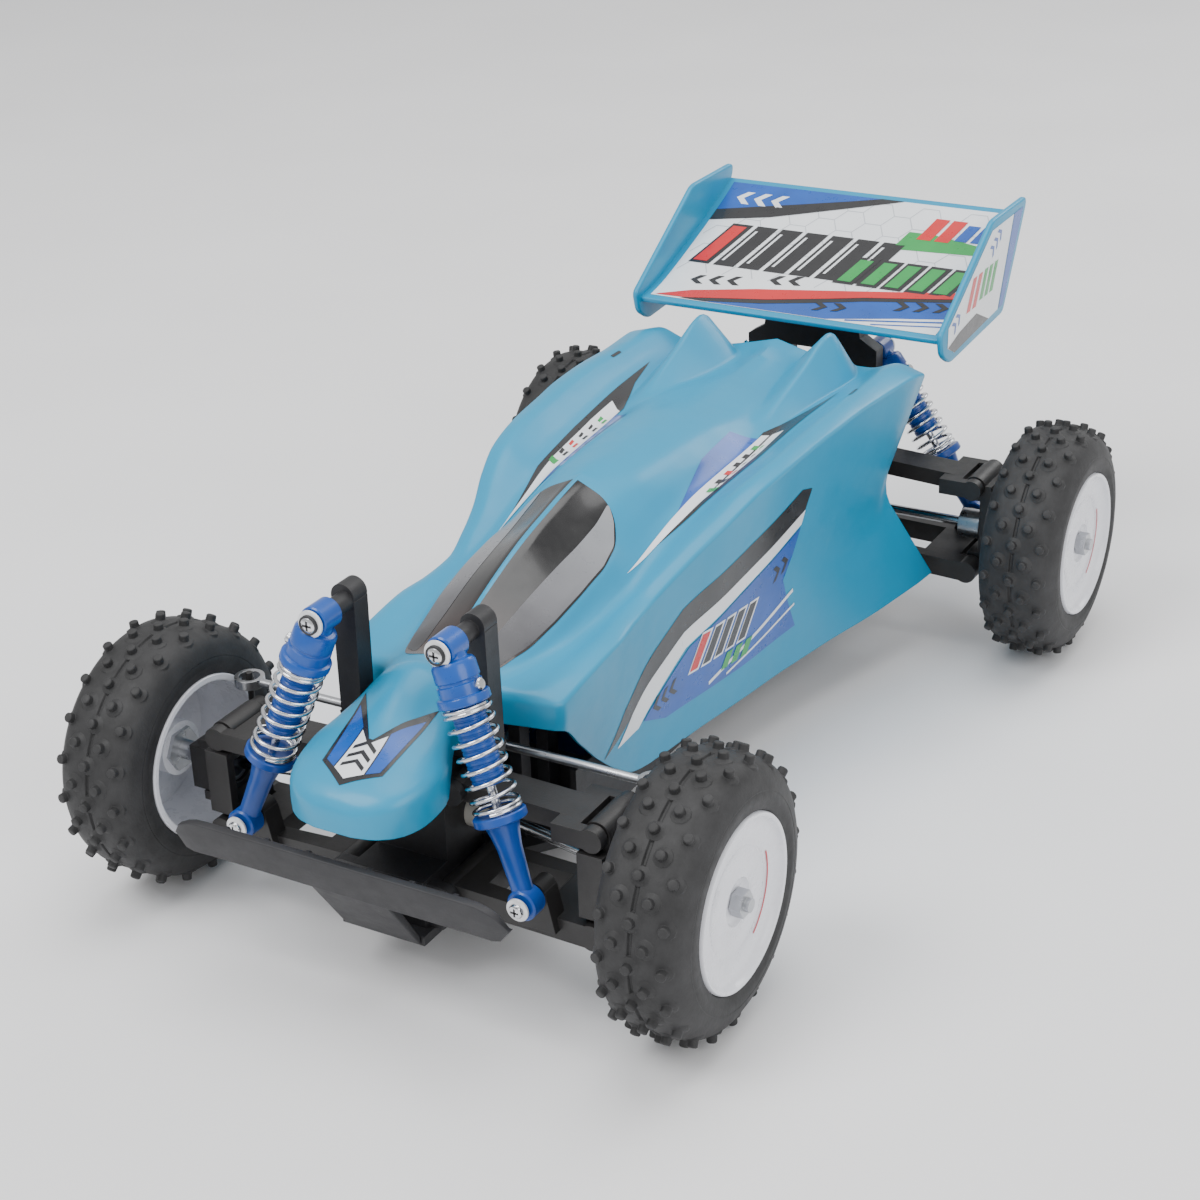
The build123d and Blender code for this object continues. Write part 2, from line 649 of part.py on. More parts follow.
def make_front_gearbox():
    """The front gearbox: housing, arm pivot lugs, damper stay and its two posts."""
    y = FRONT_Y
    w = GEARBOX_HALF_WIDTH
    zi = FRONT["inner"][1]
    dy = FRONT["diff_y"]
    top_x, top_y, top_z = FRONT["damper_top"]
    floor = FLOOR_Z + FLOOR_THICK + 0.05
    with BuildPart() as box:
        block(-w, w, y - 18, y + 30, floor, zi + 5)
        block(-w, w, dy - 15, dy + 16, floor, HOUSING_TOP)
        block(-w, w, y - 8.6, y + 8.6, 50, 62)
        arm_lugs(FRONT, floor)
        # damper stay: cross bar and two rounded posts
        with BuildSketch(plane_y(y + 1)):
            with BuildLine():
                Polyline(
                    (-25, 63), (25, 63), (26, 68.6), (-26, 68.6),
                    close=True,
                )
            make_face()
            with Locations((0, 62)):
                Rectangle(2 * w, 8)
            for s in (-1, 1):
                with BuildLine():
                    Polyline(
                        (s * (top_x + 4.8), 64), (s * (top_x - 2.4), 64), (s * (top_x - 3.2), top_z),
                        (s * (top_x + 4.6), top_z),
                        close=True,
                    )
                make_face()
                with Locations((s * (top_x + 0.7), top_z + 1)):
                    Circle(3.9)
        extrude(amount=-6.5)
        gear_chamber(dy)
        disc_y(0, AXLE_Z, dy + 5, dy + 35, PROP_R + RUNNING, mode=Mode.SUBTRACT)
        disc_y(0, AXLE_Z, dy + 8, dy + 14, BEVEL_R + 0.4, mode=Mode.SUBTRACT)
        for s in (-1, 1):
            damper_bolt(s * top_x, top_z, top_y, y + 2, -1)
        with Locations(*[(x, py, floor) for x, py in FRONT_SCREWS]):
            Cylinder(SCREW_R + RUNNING, 13, mode=Mode.SUBTRACT)
    return box.part


def make_rear_gearbox():
    """The rear gearbox: housing, arm lugs, motor plate, damper stay and wing mount."""
    y = REAR_Y
    w = GEARBOX_HALF_WIDTH
    zi = REAR["inner"][1]
    top_x, top_y, top_z = REAR["damper_top"]
    floor = FLOOR_Z + FLOOR_THICK + 0.05
    stay_y = y + 6.5
    with BuildPart() as box:
        block(-w, w, y - 20, y + 25, floor, zi + 5)
        block(-w, w, y - 15, y + 15, floor, 62)
        arm_lugs(REAR, floor)
        # motor plate above the propeller shaft
        block(-w - 4, w + 4, y - 22, y - 19.5, 48, MOTOR_Z + 14)
        block(-w, w, y - 19.6, y - 14, 48, 62)
        disc_y(0, MOTOR_Z, y - 23, y - 14, 5.2, mode=Mode.SUBTRACT)
        # stay plate: tapered from the housing, wide at the damper bolts, narrow at the wing
        with BuildSketch(plane_y(stay_y)):
            with BuildLine():
                Polyline(
                    (-w, 55), (w, 55), (w + 3, 72), (top_x + 4.5, top_z - 6), (top_x + 4.5, top_z + 4),
                    (19, top_z + 8), (17, WING_MOUNT_Z), (-17, WING_MOUNT_Z), (-19, top_z + 8),
                    (-top_x - 4.5, top_z + 4), (-top_x - 4.5, top_z - 6), (-w - 3, 72),
                    close=True,
                )
            make_face()
            with Locations((0, top_z - 6)):
                Rectangle(17, 16, mode=Mode.SUBTRACT)
        extrude(amount=-6)
        gear_chamber(y)
        disc_y(0, AXLE_Z, y - 30, y - 5, PROP_R + RUNNING, mode=Mode.SUBTRACT)
        disc_y(0, AXLE_Z, y - 14, y - 8, BEVEL_R + 0.4, mode=Mode.SUBTRACT)
        for s in (-1, 1):
            damper_bolt(s * top_x, top_z, top_y, stay_y + 5, 1)
        with Locations(*[(x, py, floor) for x, py in REAR_SCREWS]):
            Cylinder(SCREW_R + RUNNING, 13, mode=Mode.SUBTRACT)
    return box.part


# ---- drive line ---------------------------------------------------------------------------------
RING_TEETH = 30
BEVEL_TEETH = 10
GEAR_WIDTH = 5.0
MOTOR_SHAFT_R = 1.2
MOTOR_R = 13.9
GEAR_Y = REAR_Y - 28.0      # front face of the spur gear and the motor pinion


def make_differential(corner, ring_side):
    """A differential: bevel ring gear on one side, cup outputs for both drive shafts."""
    y = corner["diff_y"]
    cup_end = INNER_BALL_X[corner["side"]] + 3.0
    cup_floor = cup_end - 8.5
    ring_face = 4.2
    ring_r = 11.6
    with BuildPart() as diff:
        with BuildSketch(wheel_plane(y)):
            with BuildLine():
                Polyline(
                    (-cup_floor, 0), (-cup_floor, 4.0), (-cup_end, 4.0), (-cup_end, DIFF_CUP_R),
                    (-9.5, DIFF_CUP_R), (-9.5, 7.0), (9.5, 7.0), (9.5, DIFF_CUP_R),
                    (cup_end, DIFF_CUP_R), (cup_end, 4.0), (cup_floor, 4.0), (cup_floor, 0),
                    close=True,
                )
            make_face()
        revolve(axis=wheel_axis(y))
        with BuildSketch(Plane.YZ.offset(ring_side * ring_face)):
            with Locations((y, AXLE_Z)):
                Circle(ring_r)
        extrude(amount=ring_side * 4.6)
        with BuildSketch(Plane.YZ.offset(ring_side * ring_face)):
            with Locations((y, AXLE_Z)):
                with PolarLocations(10.0, RING_TEETH):
                    Rectangle(4.2, 0.9)
        extrude(amount=ring_side * 0.8, mode=Mode.SUBTRACT)
    return diff.part


def gear_outline(teeth, module, turn=0.0):
    """Corners of a straight-flanked spur gear outline; tooth 0 sits at the given share of a pitch."""
    pitch_r = teeth * module / 2
    step = 2 * pi / teeth
    corners = []
    for k in range(teeth):
        middle = (k + turn) * step
        for radius, share in (
            (pitch_r - 1.25 * module, -0.30), (pitch_r + 0.9 * module, -0.11),
            (pitch_r + 0.9 * module, 0.11), (pitch_r - 1.25 * module, 0.30),
        ):
            angle = middle + share * step
            corners.append((radius * cos(angle), radius * sin(angle)))
    return corners


def make_propeller_shaft():
    """The central shaft with its spur gear and a bevel pinion at each end."""
    front_end = FRONT["diff_y"] + 8.2
    rear_end = REAR_Y - 8.2
    with BuildPart() as shaft:
        disc_y(0, AXLE_Z, front_end, rear_end, PROP_R)
        for end, direction in ((front_end, 1), (rear_end, -1)):
            with BuildSketch(plane_y(end)):
                with Locations((0, AXLE_Z)):
                    Circle(BEVEL_R)
                    with PolarLocations(BEVEL_R, BEVEL_TEETH):
                        Rectangle(1.0, 0.7, mode=Mode.SUBTRACT)
            extrude(amount=-direction * 5.0)
        spur_plane = Plane(origin=(0, GEAR_Y, AXLE_Z), x_dir=(0, 0, 1), z_dir=(0, 1, 0))
        with BuildSketch(spur_plane):
            with BuildLine():
                Polyline(*gear_outline(SPUR_TEETH, MODULE, turn=0.5), close=True)
            make_face()
        extrude(amount=GEAR_WIDTH)
    return shaft.part


def make_motor_pinion():
    """The motor's shaft with its pinion."""
    with BuildPart() as pinion:
        disc_y(0, MOTOR_Z, GEAR_Y - 4, GEAR_Y + 6.5, MOTOR_SHAFT_R)
        pinion_plane = Plane(origin=(0, GEAR_Y, MOTOR_Z), x_dir=(0, 0, -1), z_dir=(0, 1, 0))
        with BuildSketch(pinion_plane):
            with BuildLine():
                Polyline(*gear_outline(PINION_TEETH, MODULE), close=True)
            make_face()
        extrude(amount=GEAR_WIDTH)
    return pinion.part


def make_motor():
    """A round can motor ahead of the spur gear, with its two flats and rear boss."""
    back = GEAR_Y - 3.0
    length = 38.0
    with BuildPart() as motor:
        with BuildSketch(plane_y(back)):
            with Locations((0, MOTOR_Z)):
                Circle(MOTOR_R)
                Rectangle(30, 24, mode=Mode.INTERSECT)
        extrude(amount=length)
        disc_y(0, MOTOR_Z, back - length - 3, back - length, 4.0)
        disc_y(0, MOTOR_Z, back - 3, back + 1, MOTOR_SHAFT_R + RUNNING, mode=Mode.SUBTRACT)
        # cradle that stands the motor on the tub
        for x in (-13, 13):
            block(x - 2, x + 2, back - 30, back - 8, FLOOR_Z + FLOOR_THICK + 0.05, MOTOR_Z - 6)
    return motor.part


# ---- electrics and steering ---------------------------------------------------------------------
CRANK_ARM = 28.0            # from the crank's pivot forward to its pins
CRANK_PIN_Y = FRONT_Y + STEER_ARM
CRANK_PIVOT_Y = CRANK_PIN_Y + CRANK_ARM
CRANK_Z = HOUSING_TOP + 0.2
CRANK_THICK = 1.6
CRANK_PIN_X = 6.0
CRANK_PIVOT_R = 2.0


def make_radio_box():
    """One case for the receiver, speed controller and steering motor, on four legs."""
    y0, y1 = FRONT_Y + 22, FRONT_Y + 57
    with BuildPart() as box:
        block(-12, 12, y0, y1, 60.4, 77)
        fillet(box.edges().filter_by(Axis.Z), radius=2.5)
        for x in (-10, 10):
            block(x - 2, x + 2, y1 - 6, y1, FLOOR_Z + FLOOR_THICK + 0.05, 61)
            block(x - 2, x + 2, y0 + 14, y0 + 19, FLOOR_Z + FLOOR_THICK + 0.05, 61)
        with BuildSketch(Plane.XY.offset(HOUSING_TOP + 0.1)):
            with Locations((0, CRANK_PIVOT_Y)):
                Circle(CRANK_PIVOT_R)
        extrude(amount=7)
    return box.part


def make_steering_crank():
    """A T-shaped crank under the radio box that pulls both tie rods."""
    with BuildPart() as crank:
        with BuildSketch(Plane.XY.offset(CRANK_Z)):
            with Locations((0, CRANK_PIVOT_Y)):
                Circle(4.6)
            with Locations((0, CRANK_PIVOT_Y - CRANK_ARM / 2)):
                Rectangle(5, CRANK_ARM)
            with Locations((0, CRANK_PIN_Y)):
                Rectangle(2 * CRANK_PIN_X, 4.0)
            with Locations(*[(s * CRANK_PIN_X, CRANK_PIN_Y) for s in (-1, 1)]):
                Circle(2.4)
        extrude(amount=CRANK_THICK)
        with BuildSketch(Plane.XY.offset(CRANK_Z)):
            with Locations(*[(s * CRANK_PIN_X, CRANK_PIN_Y) for s in (-1, 1)]):
                Circle(TIE_PIN_R)
        extrude(amount=TIE_ROD_Z + 2.6 - CRANK_Z)
        with BuildSketch(Plane.XY.offset(CRANK_Z)):
            with Locations((0, CRANK_PIVOT_Y)):
                Circle(CRANK_PIVOT_R + RUNNING)
        extrude(amount=4, mode=Mode.SUBTRACT)
    return crank.part


def make_tie_rod():
    """The left tie rod: a round link with an eye at each end."""
    ends = [(CRANK_PIN_X, CRANK_PIN_Y, TIE_ROD_Z), (KINGPIN_X, CRANK_PIN_Y, TIE_ROD_Z)]
    in_eye = (TIE_EYE_R + TIE_EYE_HOLE_R) / 2
    with BuildPart() as rod:
        disc_x(CRANK_PIN_Y, TIE_ROD_Z, CRANK_PIN_X + in_eye, KINGPIN_X - in_eye, TIE_ROD_R)
        with Locations(*ends):
            Cylinder(TIE_EYE_R, 2 * TIE_EYE_HALF)
        with Locations(*ends):
            Cylinder(TIE_EYE_HOLE_R, 4 * TIE_EYE_HALF, mode=Mode.SUBTRACT)
    return rod.part


def make_battery_pack():
    """A flat pack of round cells in a shrink sleeve."""
    cell_r = 7.2
    cells = 6
    width = 2 * TUB_HALF_WIDTH - 2 * TUB_WALL - 0.8
    with BuildPart() as pack:
        block(
            -width / 2, width / 2, BATTERY_Y[0], BATTERY_Y[1],
            FLOOR_Z + FLOOR_THICK + 0.05, FLOOR_Z + FLOOR_THICK + 2.4 * cell_r,
        )
        fillet(pack.edges().filter_by(Axis.X), radius=cell_r)
        groove_step = (BATTERY_Y[1] - BATTERY_Y[0]) / cells
        top = FLOOR_Z + FLOOR_THICK + 2.4 * cell_r
        for k in range(1, cells):
            y = BATTERY_Y[0] + k * groove_step
            block(-width / 2 - 1, width / 2 + 1, y - 0.8, y + 0.8, top - 1.2, top + 1, mode=Mode.SUBTRACT)
    return pack.part


def make_power_switch():
    """The slide knob of the power switch, recessed in the floor."""
    with BuildPart() as knob:
        block(SWITCH_X - 2.6, SWITCH_X + 2.6, SWITCH_Y - 6.5, SWITCH_Y + 1.5, FLOOR_Z + 0.4, 18.4)
        for k in range(3):
            y = SWITCH_Y - 4.5 + 2 * k
            block(SWITCH_X - 3, SWITCH_X + 3, y - 0.3, y + 0.3, FLOOR_Z, FLOOR_Z + 0.9, mode=Mode.SUBTRACT)
    return knob.part


# ---- body and wing ------------------------------------------------------------------------------
SHELL_THICK = 1.2
# Half cross-sections of the shell, from the centre line out and down to the sill: y from the front
# axle, then x, z at the spine, spine edge, valley, shoulder top, shoulder side, waist and sill.
SHELL_SECTIONS = [
    (-39.0, [(0, 67.0), (4, 66.9), (7, 66.7), (9, 66.2), (10, 65.4), (10.6, 64.4), (11, 62.8)]),
    (-34.0, [(0, 70.6), (8, 70.2), (12, 69.2), (15, 68), (17, 66.4), (18, 64), (18, 60)]),
    (-18.0, [(0, 76.5), (9, 75.8), (15, 74.2), (19, 72), (21.6, 69), (22.4, 65), (22, 60)]),
    (-7.0, [(0, 84), (7, 82.5), (11, 80), (14, 78), (16.4, 75), (17, 72.6), (17, 69.4)]),
    (2.0, [(0, 88.5), (8, 87), (12, 84.5), (14, 82), (15.6, 78), (16.2, 74), (16.2, 69.8)]),
    (10.5, [(0, 87), (9, 85.5), (12, 84), (14, 82), (15.8, 79), (16.4, 75), (16.4, 69.8)]),
    (20.0, [(0, 87), (15, 81.5), (20, 80), (29, 80), (36.5, 78), (38, 74), (37.2, 67.5)]),
    (50.0, [(0, 98), (20.5, 87), (26, 82), (34, 82.5), (38.6, 80), (35, 62), (31, 40)]),
    (75.0, [(0, 106), (21, 92.5), (26, 85), (32, 85.5), (36.8, 82), (32, 58), (28.5, 24)]),
    (97.0, [(0, 110), (12, 106), (22, 93), (34, 94), (41, 89), (36, 60), (30, 22)]),
    (133.0, [(0, 109), (14, 106), (25, 97), (42, 106), (50.5, 101), (42, 62), (37, 22)]),
    (172.0, [(0, 107), (16, 103), (27, 98.7), (44, 109), (54, 104.5), (47, 60), (43.5, 23)]),
    (205.0, [(0, 106.5), (16, 104), (30, 102), (46, 109), (56, 104), (47, 60), (52, 24.5)]),
    (232.0, [(0, 109), (10, 107), (30, 104.5), (46, 107.5), (57, 104), (45.5, 60), (59, 27)]),
]


def inset(outline, distance):
    """The half outline moved inwards by a distance, corner by corner."""
    moved = [(0, outline[0][1] - distance)]
    for before, here, after in zip(outline, outline[1:], outline[2:]):
        first = Vector(here[0] - before[0], here[1] - before[1]).normalized()
        second = Vector(after[0] - here[0], after[1] - here[1]).normalized()
        inward = Vector(first.Y + second.Y, -first.X - second.X)
        reach = distance / max(1 + first.dot(second), 0.6)
        moved.append((here[0] + inward.X * reach, here[1] + inward.Y * reach))
    moved.append((outline[-1][0] - distance, outline[-1][1]))
    return moved


def make_body_shell():
    """The thin, open-bottomed body with its two fins, lofted through its cross-sections."""
    with BuildPart() as shell:
        for dy, half in SHELL_SECTIONS:
            inner = inset(half, SHELL_THICK)
            outer_loop = [(-x, z) for x, z in reversed(half[1:])] + half
            inner_loop = inner[::-1] + [(-x, z) for x, z in inner[1:]]
            with BuildSketch(plane_y(FRONT_Y + dy)):
                with BuildLine():
                    Polyline(*outer_loop, *inner_loop, close=True)
                make_face()
        loft(ruled=True)
        # fins: upright blades that rise towards the rear
        for s in (-1, 1):
            with BuildSketch(plane_x(s * FIN_TIP_X)):
                with BuildLine():
                    Polyline(
                        (FIN_TIP_Y - 52, 99.5), (FIN_TIP_Y - 2, FIN_TIP_Z), (FIN_TIP_Y + 2, FIN_TIP_Z),
                        (FIN_TIP_Y + 5, 104), (FIN_TIP_Y, 103.3), (FIN_TIP_Y - 40, 98.2),
                        close=True,
                    )
                make_face()
            extrude(amount=1.2, both=True)
    return shell.part


def make_rear_wing():
    """A cambered wing between two end plates."""
    half = 58.0
    plate = 2.2
    with BuildPart() as wing:
        with BuildSketch(plane_x(-half)):
            with BuildLine():
                top = ThreePointArc(
                    (FRONT_Y + 241, 114.5), (FRONT_Y + 278, 125.0), (FRONT_Y + 315, 140.5)
                )
                Line(top @ 1, (FRONT_Y + 315, 138.8))
                ThreePointArc((FRONT_Y + 315, 138.8), (FRONT_Y + 279, 122.6), (FRONT_Y + 241, 112.3))
                Line((FRONT_Y + 241, 112.3), top @ 0)
            make_face()
        extrude(amount=2 * half)
        for x in (-half - plate, half):
            with BuildSketch(plane_x(x)):
                with BuildLine():
                    Polyline(
                        (FRONT_Y + 238, 117.5), (FRONT_Y + 284, 145.5), (TAIL_Y - 0.6, 145.5),
                        (TAIL_Y, 141), (FRONT_Y + 297, 107.4), (FRONT_Y + 247, 104.4),
                        (FRONT_Y + 239, 110),
                        close=True,
                    )
                make_face()
            extrude(amount=plate)
        # mounting pad on the stay
        block(-14, 14, REAR_Y + 5.5, REAR_Y + 13.5, WING_MOUNT_Z + 0.05, WING_MOUNT_Z + 3.2)
    return wing.part


# ---- write every piece --------------------------------------------------------------------------
for corner in (FRONT, REAR):
    side = corner["side"]
    save_pair(make_tyre(corner), side, "tyre")
    save_pair(make_rim(corner), side, "rim")
    save_pair(make_axle(corner), side, "axle")
    save_pair(make_lower_arm(corner), side, "lower_arm")
    save_pair(make_upper_arm(corner), side, "upper_arm")
    save_pair(make_drive_shaft(corner), side, "drive_shaft")
    save_pair(make_damper_body(corner), side, "damper_body")
    save_pair(make_damper_rod(corner), side, "damper_rod")
    save_pair(make_spring(corner), side, "spring")
save_pair(make_front_hub_carrier(), "front", "hub_carrier")
save_pair(make_front_knuckle(), "front", "knuckle")
save_pair(make_rear_hub_carrier(), "rear", "hub_carrier")

save(make_chassis_tub(), "chassis_tub")
save(make_chassis_screws(), "chassis_screws")
save(make_front_bumper(), "front_bumper")
save(make_front_gearbox(), "front_gearbox")
save(make_rear_gearbox(), "rear_gearbox")
save(make_differential(FRONT, -1), "front_differential")
save(make_differential(REAR, 1), "rear_differential")
save(make_propeller_shaft(), "propeller_shaft")
save(make_motor_pinion(), "motor_pinion")
save(make_motor(), "motor")
save(make_radio_box(), "radio_box")
save(make_steering_crank(), "steering_crank")
tie_rod = make_tie_rod()
save(tie_rod, "left_tie_rod")
save(mirror(tie_rod, about=Plane.YZ), "right_tie_rod")
save(make_battery_pack(), "battery_pack")
save(make_power_switch(), "power_switch")
save(make_body_shell(), "body_shell")
save(make_rear_wing(), "rear_wing")
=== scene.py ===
import json
from math import cos, exp, pi, radians, sin, sqrt

import bmesh
import bpy
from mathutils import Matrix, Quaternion, Vector
from mathutils.bvhtree import BVHTree


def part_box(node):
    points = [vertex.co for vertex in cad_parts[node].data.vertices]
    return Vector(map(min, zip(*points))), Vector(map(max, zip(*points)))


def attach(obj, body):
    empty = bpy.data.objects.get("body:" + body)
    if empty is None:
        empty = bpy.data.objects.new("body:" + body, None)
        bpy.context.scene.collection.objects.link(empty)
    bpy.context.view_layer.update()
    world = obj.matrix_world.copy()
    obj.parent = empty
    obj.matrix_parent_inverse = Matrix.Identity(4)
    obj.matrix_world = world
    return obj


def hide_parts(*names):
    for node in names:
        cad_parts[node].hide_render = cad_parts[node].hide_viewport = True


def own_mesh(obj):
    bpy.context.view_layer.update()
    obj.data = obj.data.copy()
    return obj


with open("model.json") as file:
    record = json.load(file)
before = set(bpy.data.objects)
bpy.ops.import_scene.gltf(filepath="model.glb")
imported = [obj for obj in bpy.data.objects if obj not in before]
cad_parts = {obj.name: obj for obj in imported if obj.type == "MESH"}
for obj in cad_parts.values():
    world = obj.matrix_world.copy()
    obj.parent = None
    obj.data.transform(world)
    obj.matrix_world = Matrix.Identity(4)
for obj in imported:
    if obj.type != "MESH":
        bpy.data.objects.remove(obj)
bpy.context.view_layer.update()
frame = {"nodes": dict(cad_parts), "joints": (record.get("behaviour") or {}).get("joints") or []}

# ---- the shared frame, in millimetres ----
MM = 0.001
ALONG_Y = Vector((0, 1, 0))
JOINTS = {joint["name"]: joint for joint in frame["joints"]}
CORNERS = ("front_left", "front_right", "rear_left", "rear_right")


def box_mm(name):
    """The lowest and highest corners of a CAD node, in millimetres."""
    low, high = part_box(name)
    return low / MM, high / MM


def middle_mm(name):
    low, high = box_mm(name)
    return (low + high) / 2


FRONT_Y = middle_mm("front_left_rim").y
AXLE_Z = middle_mm("front_left_rim").z


def from_front_axle(x, dy, z):
    """A point in metres from millimetres, with its y counted back from the front axle."""
    return Vector((x, FRONT_Y + dy, z)) * MM


def fit(piece, body, stands_for=None):
    """Hides the CAD node that a piece stands for and hangs the piece on the body it rides."""
    if stands_for:
        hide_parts(stands_for)
    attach(piece, body)
    return piece


# ---- meshes ----
SAME_POINT = 1e-7           # metres
ROUNDING_STEPS = 4          # of a softened corner
LONGEST_ROUNDING = 0.45     # of an edge, at each of its ends
PLATE_EDGE = 50             # degrees
COIL_STEPS, WIRE_SIDES = 26, 10
FLAT_TURNS = 1.2            # at each end of a coil
FLAT_LEAD = 2.1             # wire radii that a flat end climbs


def in_scene(name, data):
    """A new object in the scene from its mesh, light or camera."""
    made = bpy.data.objects.new(name, data)
    bpy.context.scene.collection.objects.link(made)
    return made


def piece_of(bm, name, materials):
    """A new object from an edited mesh, which is used up."""
    mesh = bpy.data.meshes.new(name)
    bm.to_mesh(mesh)
    bm.free()
    for material in materials:
        mesh.materials.append(material)
    return in_scene(name, mesh)


def mesh_object(name, points, faces, material, smooth=True):
    """A new object from points in metres."""
    mesh = bpy.data.meshes.new(name)
    mesh.from_pydata([tuple(p) for p in points], [], faces)
    mesh.materials.append(MATERIALS[material])
    mesh.polygons.foreach_set("use_smooth", [smooth] * len(mesh.polygons))
    return in_scene(name, mesh)


def sharpen(piece, degrees=35):
    """Keeps edges sharper than the angle crisp under smooth shading."""
    bm = bmesh.new()
    bm.from_mesh(piece.data)
    bmesh.ops.remove_doubles(bm, verts=bm.verts, dist=SAME_POINT)
    bmesh.ops.recalc_face_normals(bm, faces=bm.faces)
    for edge in bm.edges:
        edge.smooth = len(edge.link_faces) == 2 and edge.calc_face_angle(0) < radians(degrees)
    bm.to_mesh(piece.data)
    bm.free()
    return piece


def joined(name, pieces):
    """Several pieces as one object, each distinct material kept once."""
    bm = bmesh.new()
    materials = []
    for piece in pieces:
        for material in piece.data.materials:
            if material not in materials:
                materials.append(material)
        places = [materials.index(material) for material in piece.data.materials]
        first = len(bm.faces)
        bm.from_mesh(piece.data)
        bm.faces.ensure_lookup_table()
        for face in bm.faces[first:]:
            face.material_index = places[min(face.material_index, len(places) - 1)]
    for piece in pieces:
        bpy.data.objects.remove(piece)
    return piece_of(bm, name, materials)


def grid_faces(rows, columns, close_rows=False, close_columns=False):
    """Quads between neighbouring rows and columns of points."""
    faces = []
    for i in range(rows if close_rows else rows - 1):
        for j in range(columns if close_columns else columns - 1):
            i2 = (i + 1) % rows
            j2 = (j + 1) % columns
            faces.append((i * columns + j, i * columns + j2, i2 * columns + j2, i2 * columns + j))
    return faces


def end_caps(rows, columns):
    """The faces that close the first and the last row."""
    return [tuple(range(columns)), tuple(reversed(range((rows - 1) * columns, rows * columns)))]


def cross_axes(direction):
    """Two unit vectors square to a direction and to each other."""
    direction = direction.normalized()
    helper = Vector((0, 0, 1)) if abs(direction.z) < 0.9 else ALONG_Y
    first = direction.cross(helper).normalized()
    return first, direction.cross(first).normalized()


def lathe(name, profile, origin, direction, material, segments, closed=False):
    """Turns a profile of (distance along the axis, radius), in millimetres, round an axis."""
    direction = direction.normalized()
    first, second = cross_axes(direction)
    points = []
    for k in range(segments):
        angle = 2 * pi * k / segments
        away = first * cos(angle) + second * sin(angle)
        points.extend(origin + (direction * a + away * r) * MM for a, r in profile)
    faces = grid_faces(segments, len(profile), close_rows=True, close_columns=closed)
    return sharpen(mesh_object(name, points, faces, material))


def soften(points, reach):
    """Rounds each inner corner of an open polyline; reach holds one distance per corner."""
    out = [points[0]]
    for i in range(1, len(points) - 1):
        before, here, after = (Vector(points[k]) for k in (i - 1, i, i + 1))
        back = min(reach[i], (before - here).length * LONGEST_ROUNDING)
        ahead = min(reach[i], (after - here).length * LONGEST_ROUNDING)
        start = here + (before - here).normalized() * back if back else here
        end = here + (after - here).normalized() * ahead if ahead else here
        for k in range(ROUNDING_STEPS + 1):
            t = k / ROUNDING_STEPS
            out.append(tuple(start * (1 - t) ** 2 + here * 2 * t * (1 - t) + end * t ** 2))
    out.append(points[-1])
    return out


def rounded_loop(points, reach):
    """Rounds every corner of a closed outline by the same distance."""
    wrapped = [points[-1]] + list(points) + [points[0]]
    return soften(wrapped, [reach] * len(wrapped))[1:-1]


def mirrored(outline):
    """The outline on the car's other side."""
    return [(-x, y) for x, y in outline]


def plate(name, outline, across, low, high, material, soft):
    """A flat plate: an outline in millimetres thickened along one axis, with a soft bevel.

    across is "x" (outline in dy, z) or "z" (outline in x, dy).
    """
    def place(a, b, depth):
        return from_front_axle(depth, a, b) if across == "x" else from_front_axle(a, b, depth)

    count = len(outline)
    points = [place(a, b, low) for a, b in outline] + [place(a, b, high) for a, b in outline]
    faces = end_caps(2, count)
    for k in range(count):
        following = (k + 1) % count
        faces.append((k, k + count, following + count, following))
    piece = mesh_object(name, points, faces, material)
    bm = bmesh.new()
    bm.from_mesh(piece.data)
    bmesh.ops.recalc_face_normals(bm, faces=bm.faces)
    if soft:
        rims = [e for e in bm.edges if e.calc_face_angle(0) > radians(PLATE_EDGE)]
        bmesh.ops.bevel(bm, geom=rims, offset=soft * MM, segments=3, profile=0.5, affect="EDGES")
    bm.to_mesh(piece.data)
    bm.free()
    return sharpen(piece, PLATE_EDGE)


def coil(name, start, direction, length, radius, wire, turns, material):
    """A coil spring with flat closed ends, as a wire of round section."""
    first, second = cross_axes(direction)
    direction = direction.normalized()
    steps = int(turns * COIL_STEPS)
    lead = wire * FLAT_LEAD
    # height of the wire's middle at the first turn, where each flat end stops, and at the last turn
    turn_marks = (0, FLAT_TURNS, turns - FLAT_TURNS, turns)
    height_marks = (wire, wire + lead, length - wire - lead, length - wire)
    points = []
    for k in range(steps + 1):
        turn = turns * k / steps
        part = 0 if turn < FLAT_TURNS else 2 if turn > turns - FLAT_TURNS else 1
        share = (turn - turn_marks[part]) / (turn_marks[part + 1] - turn_marks[part])
        along = height_marks[part] + share * (height_marks[part + 1] - height_marks[part])
        angle = 2 * pi * turn
        away = first * cos(angle) + second * sin(angle)
        centre = start + (direction * along + away * radius) * MM
        for j in range(WIRE_SIDES):
            round_angle = 2 * pi * j / WIRE_SIDES
            offset = away * cos(round_angle) + direction * sin(round_angle)
            points.append(centre + offset * wire * MM)
    faces = grid_faces(steps + 1, WIRE_SIDES, close_columns=True) + end_caps(steps + 1, WIRE_SIDES)
    return sharpen(mesh_object(name, points, faces, material), 60)


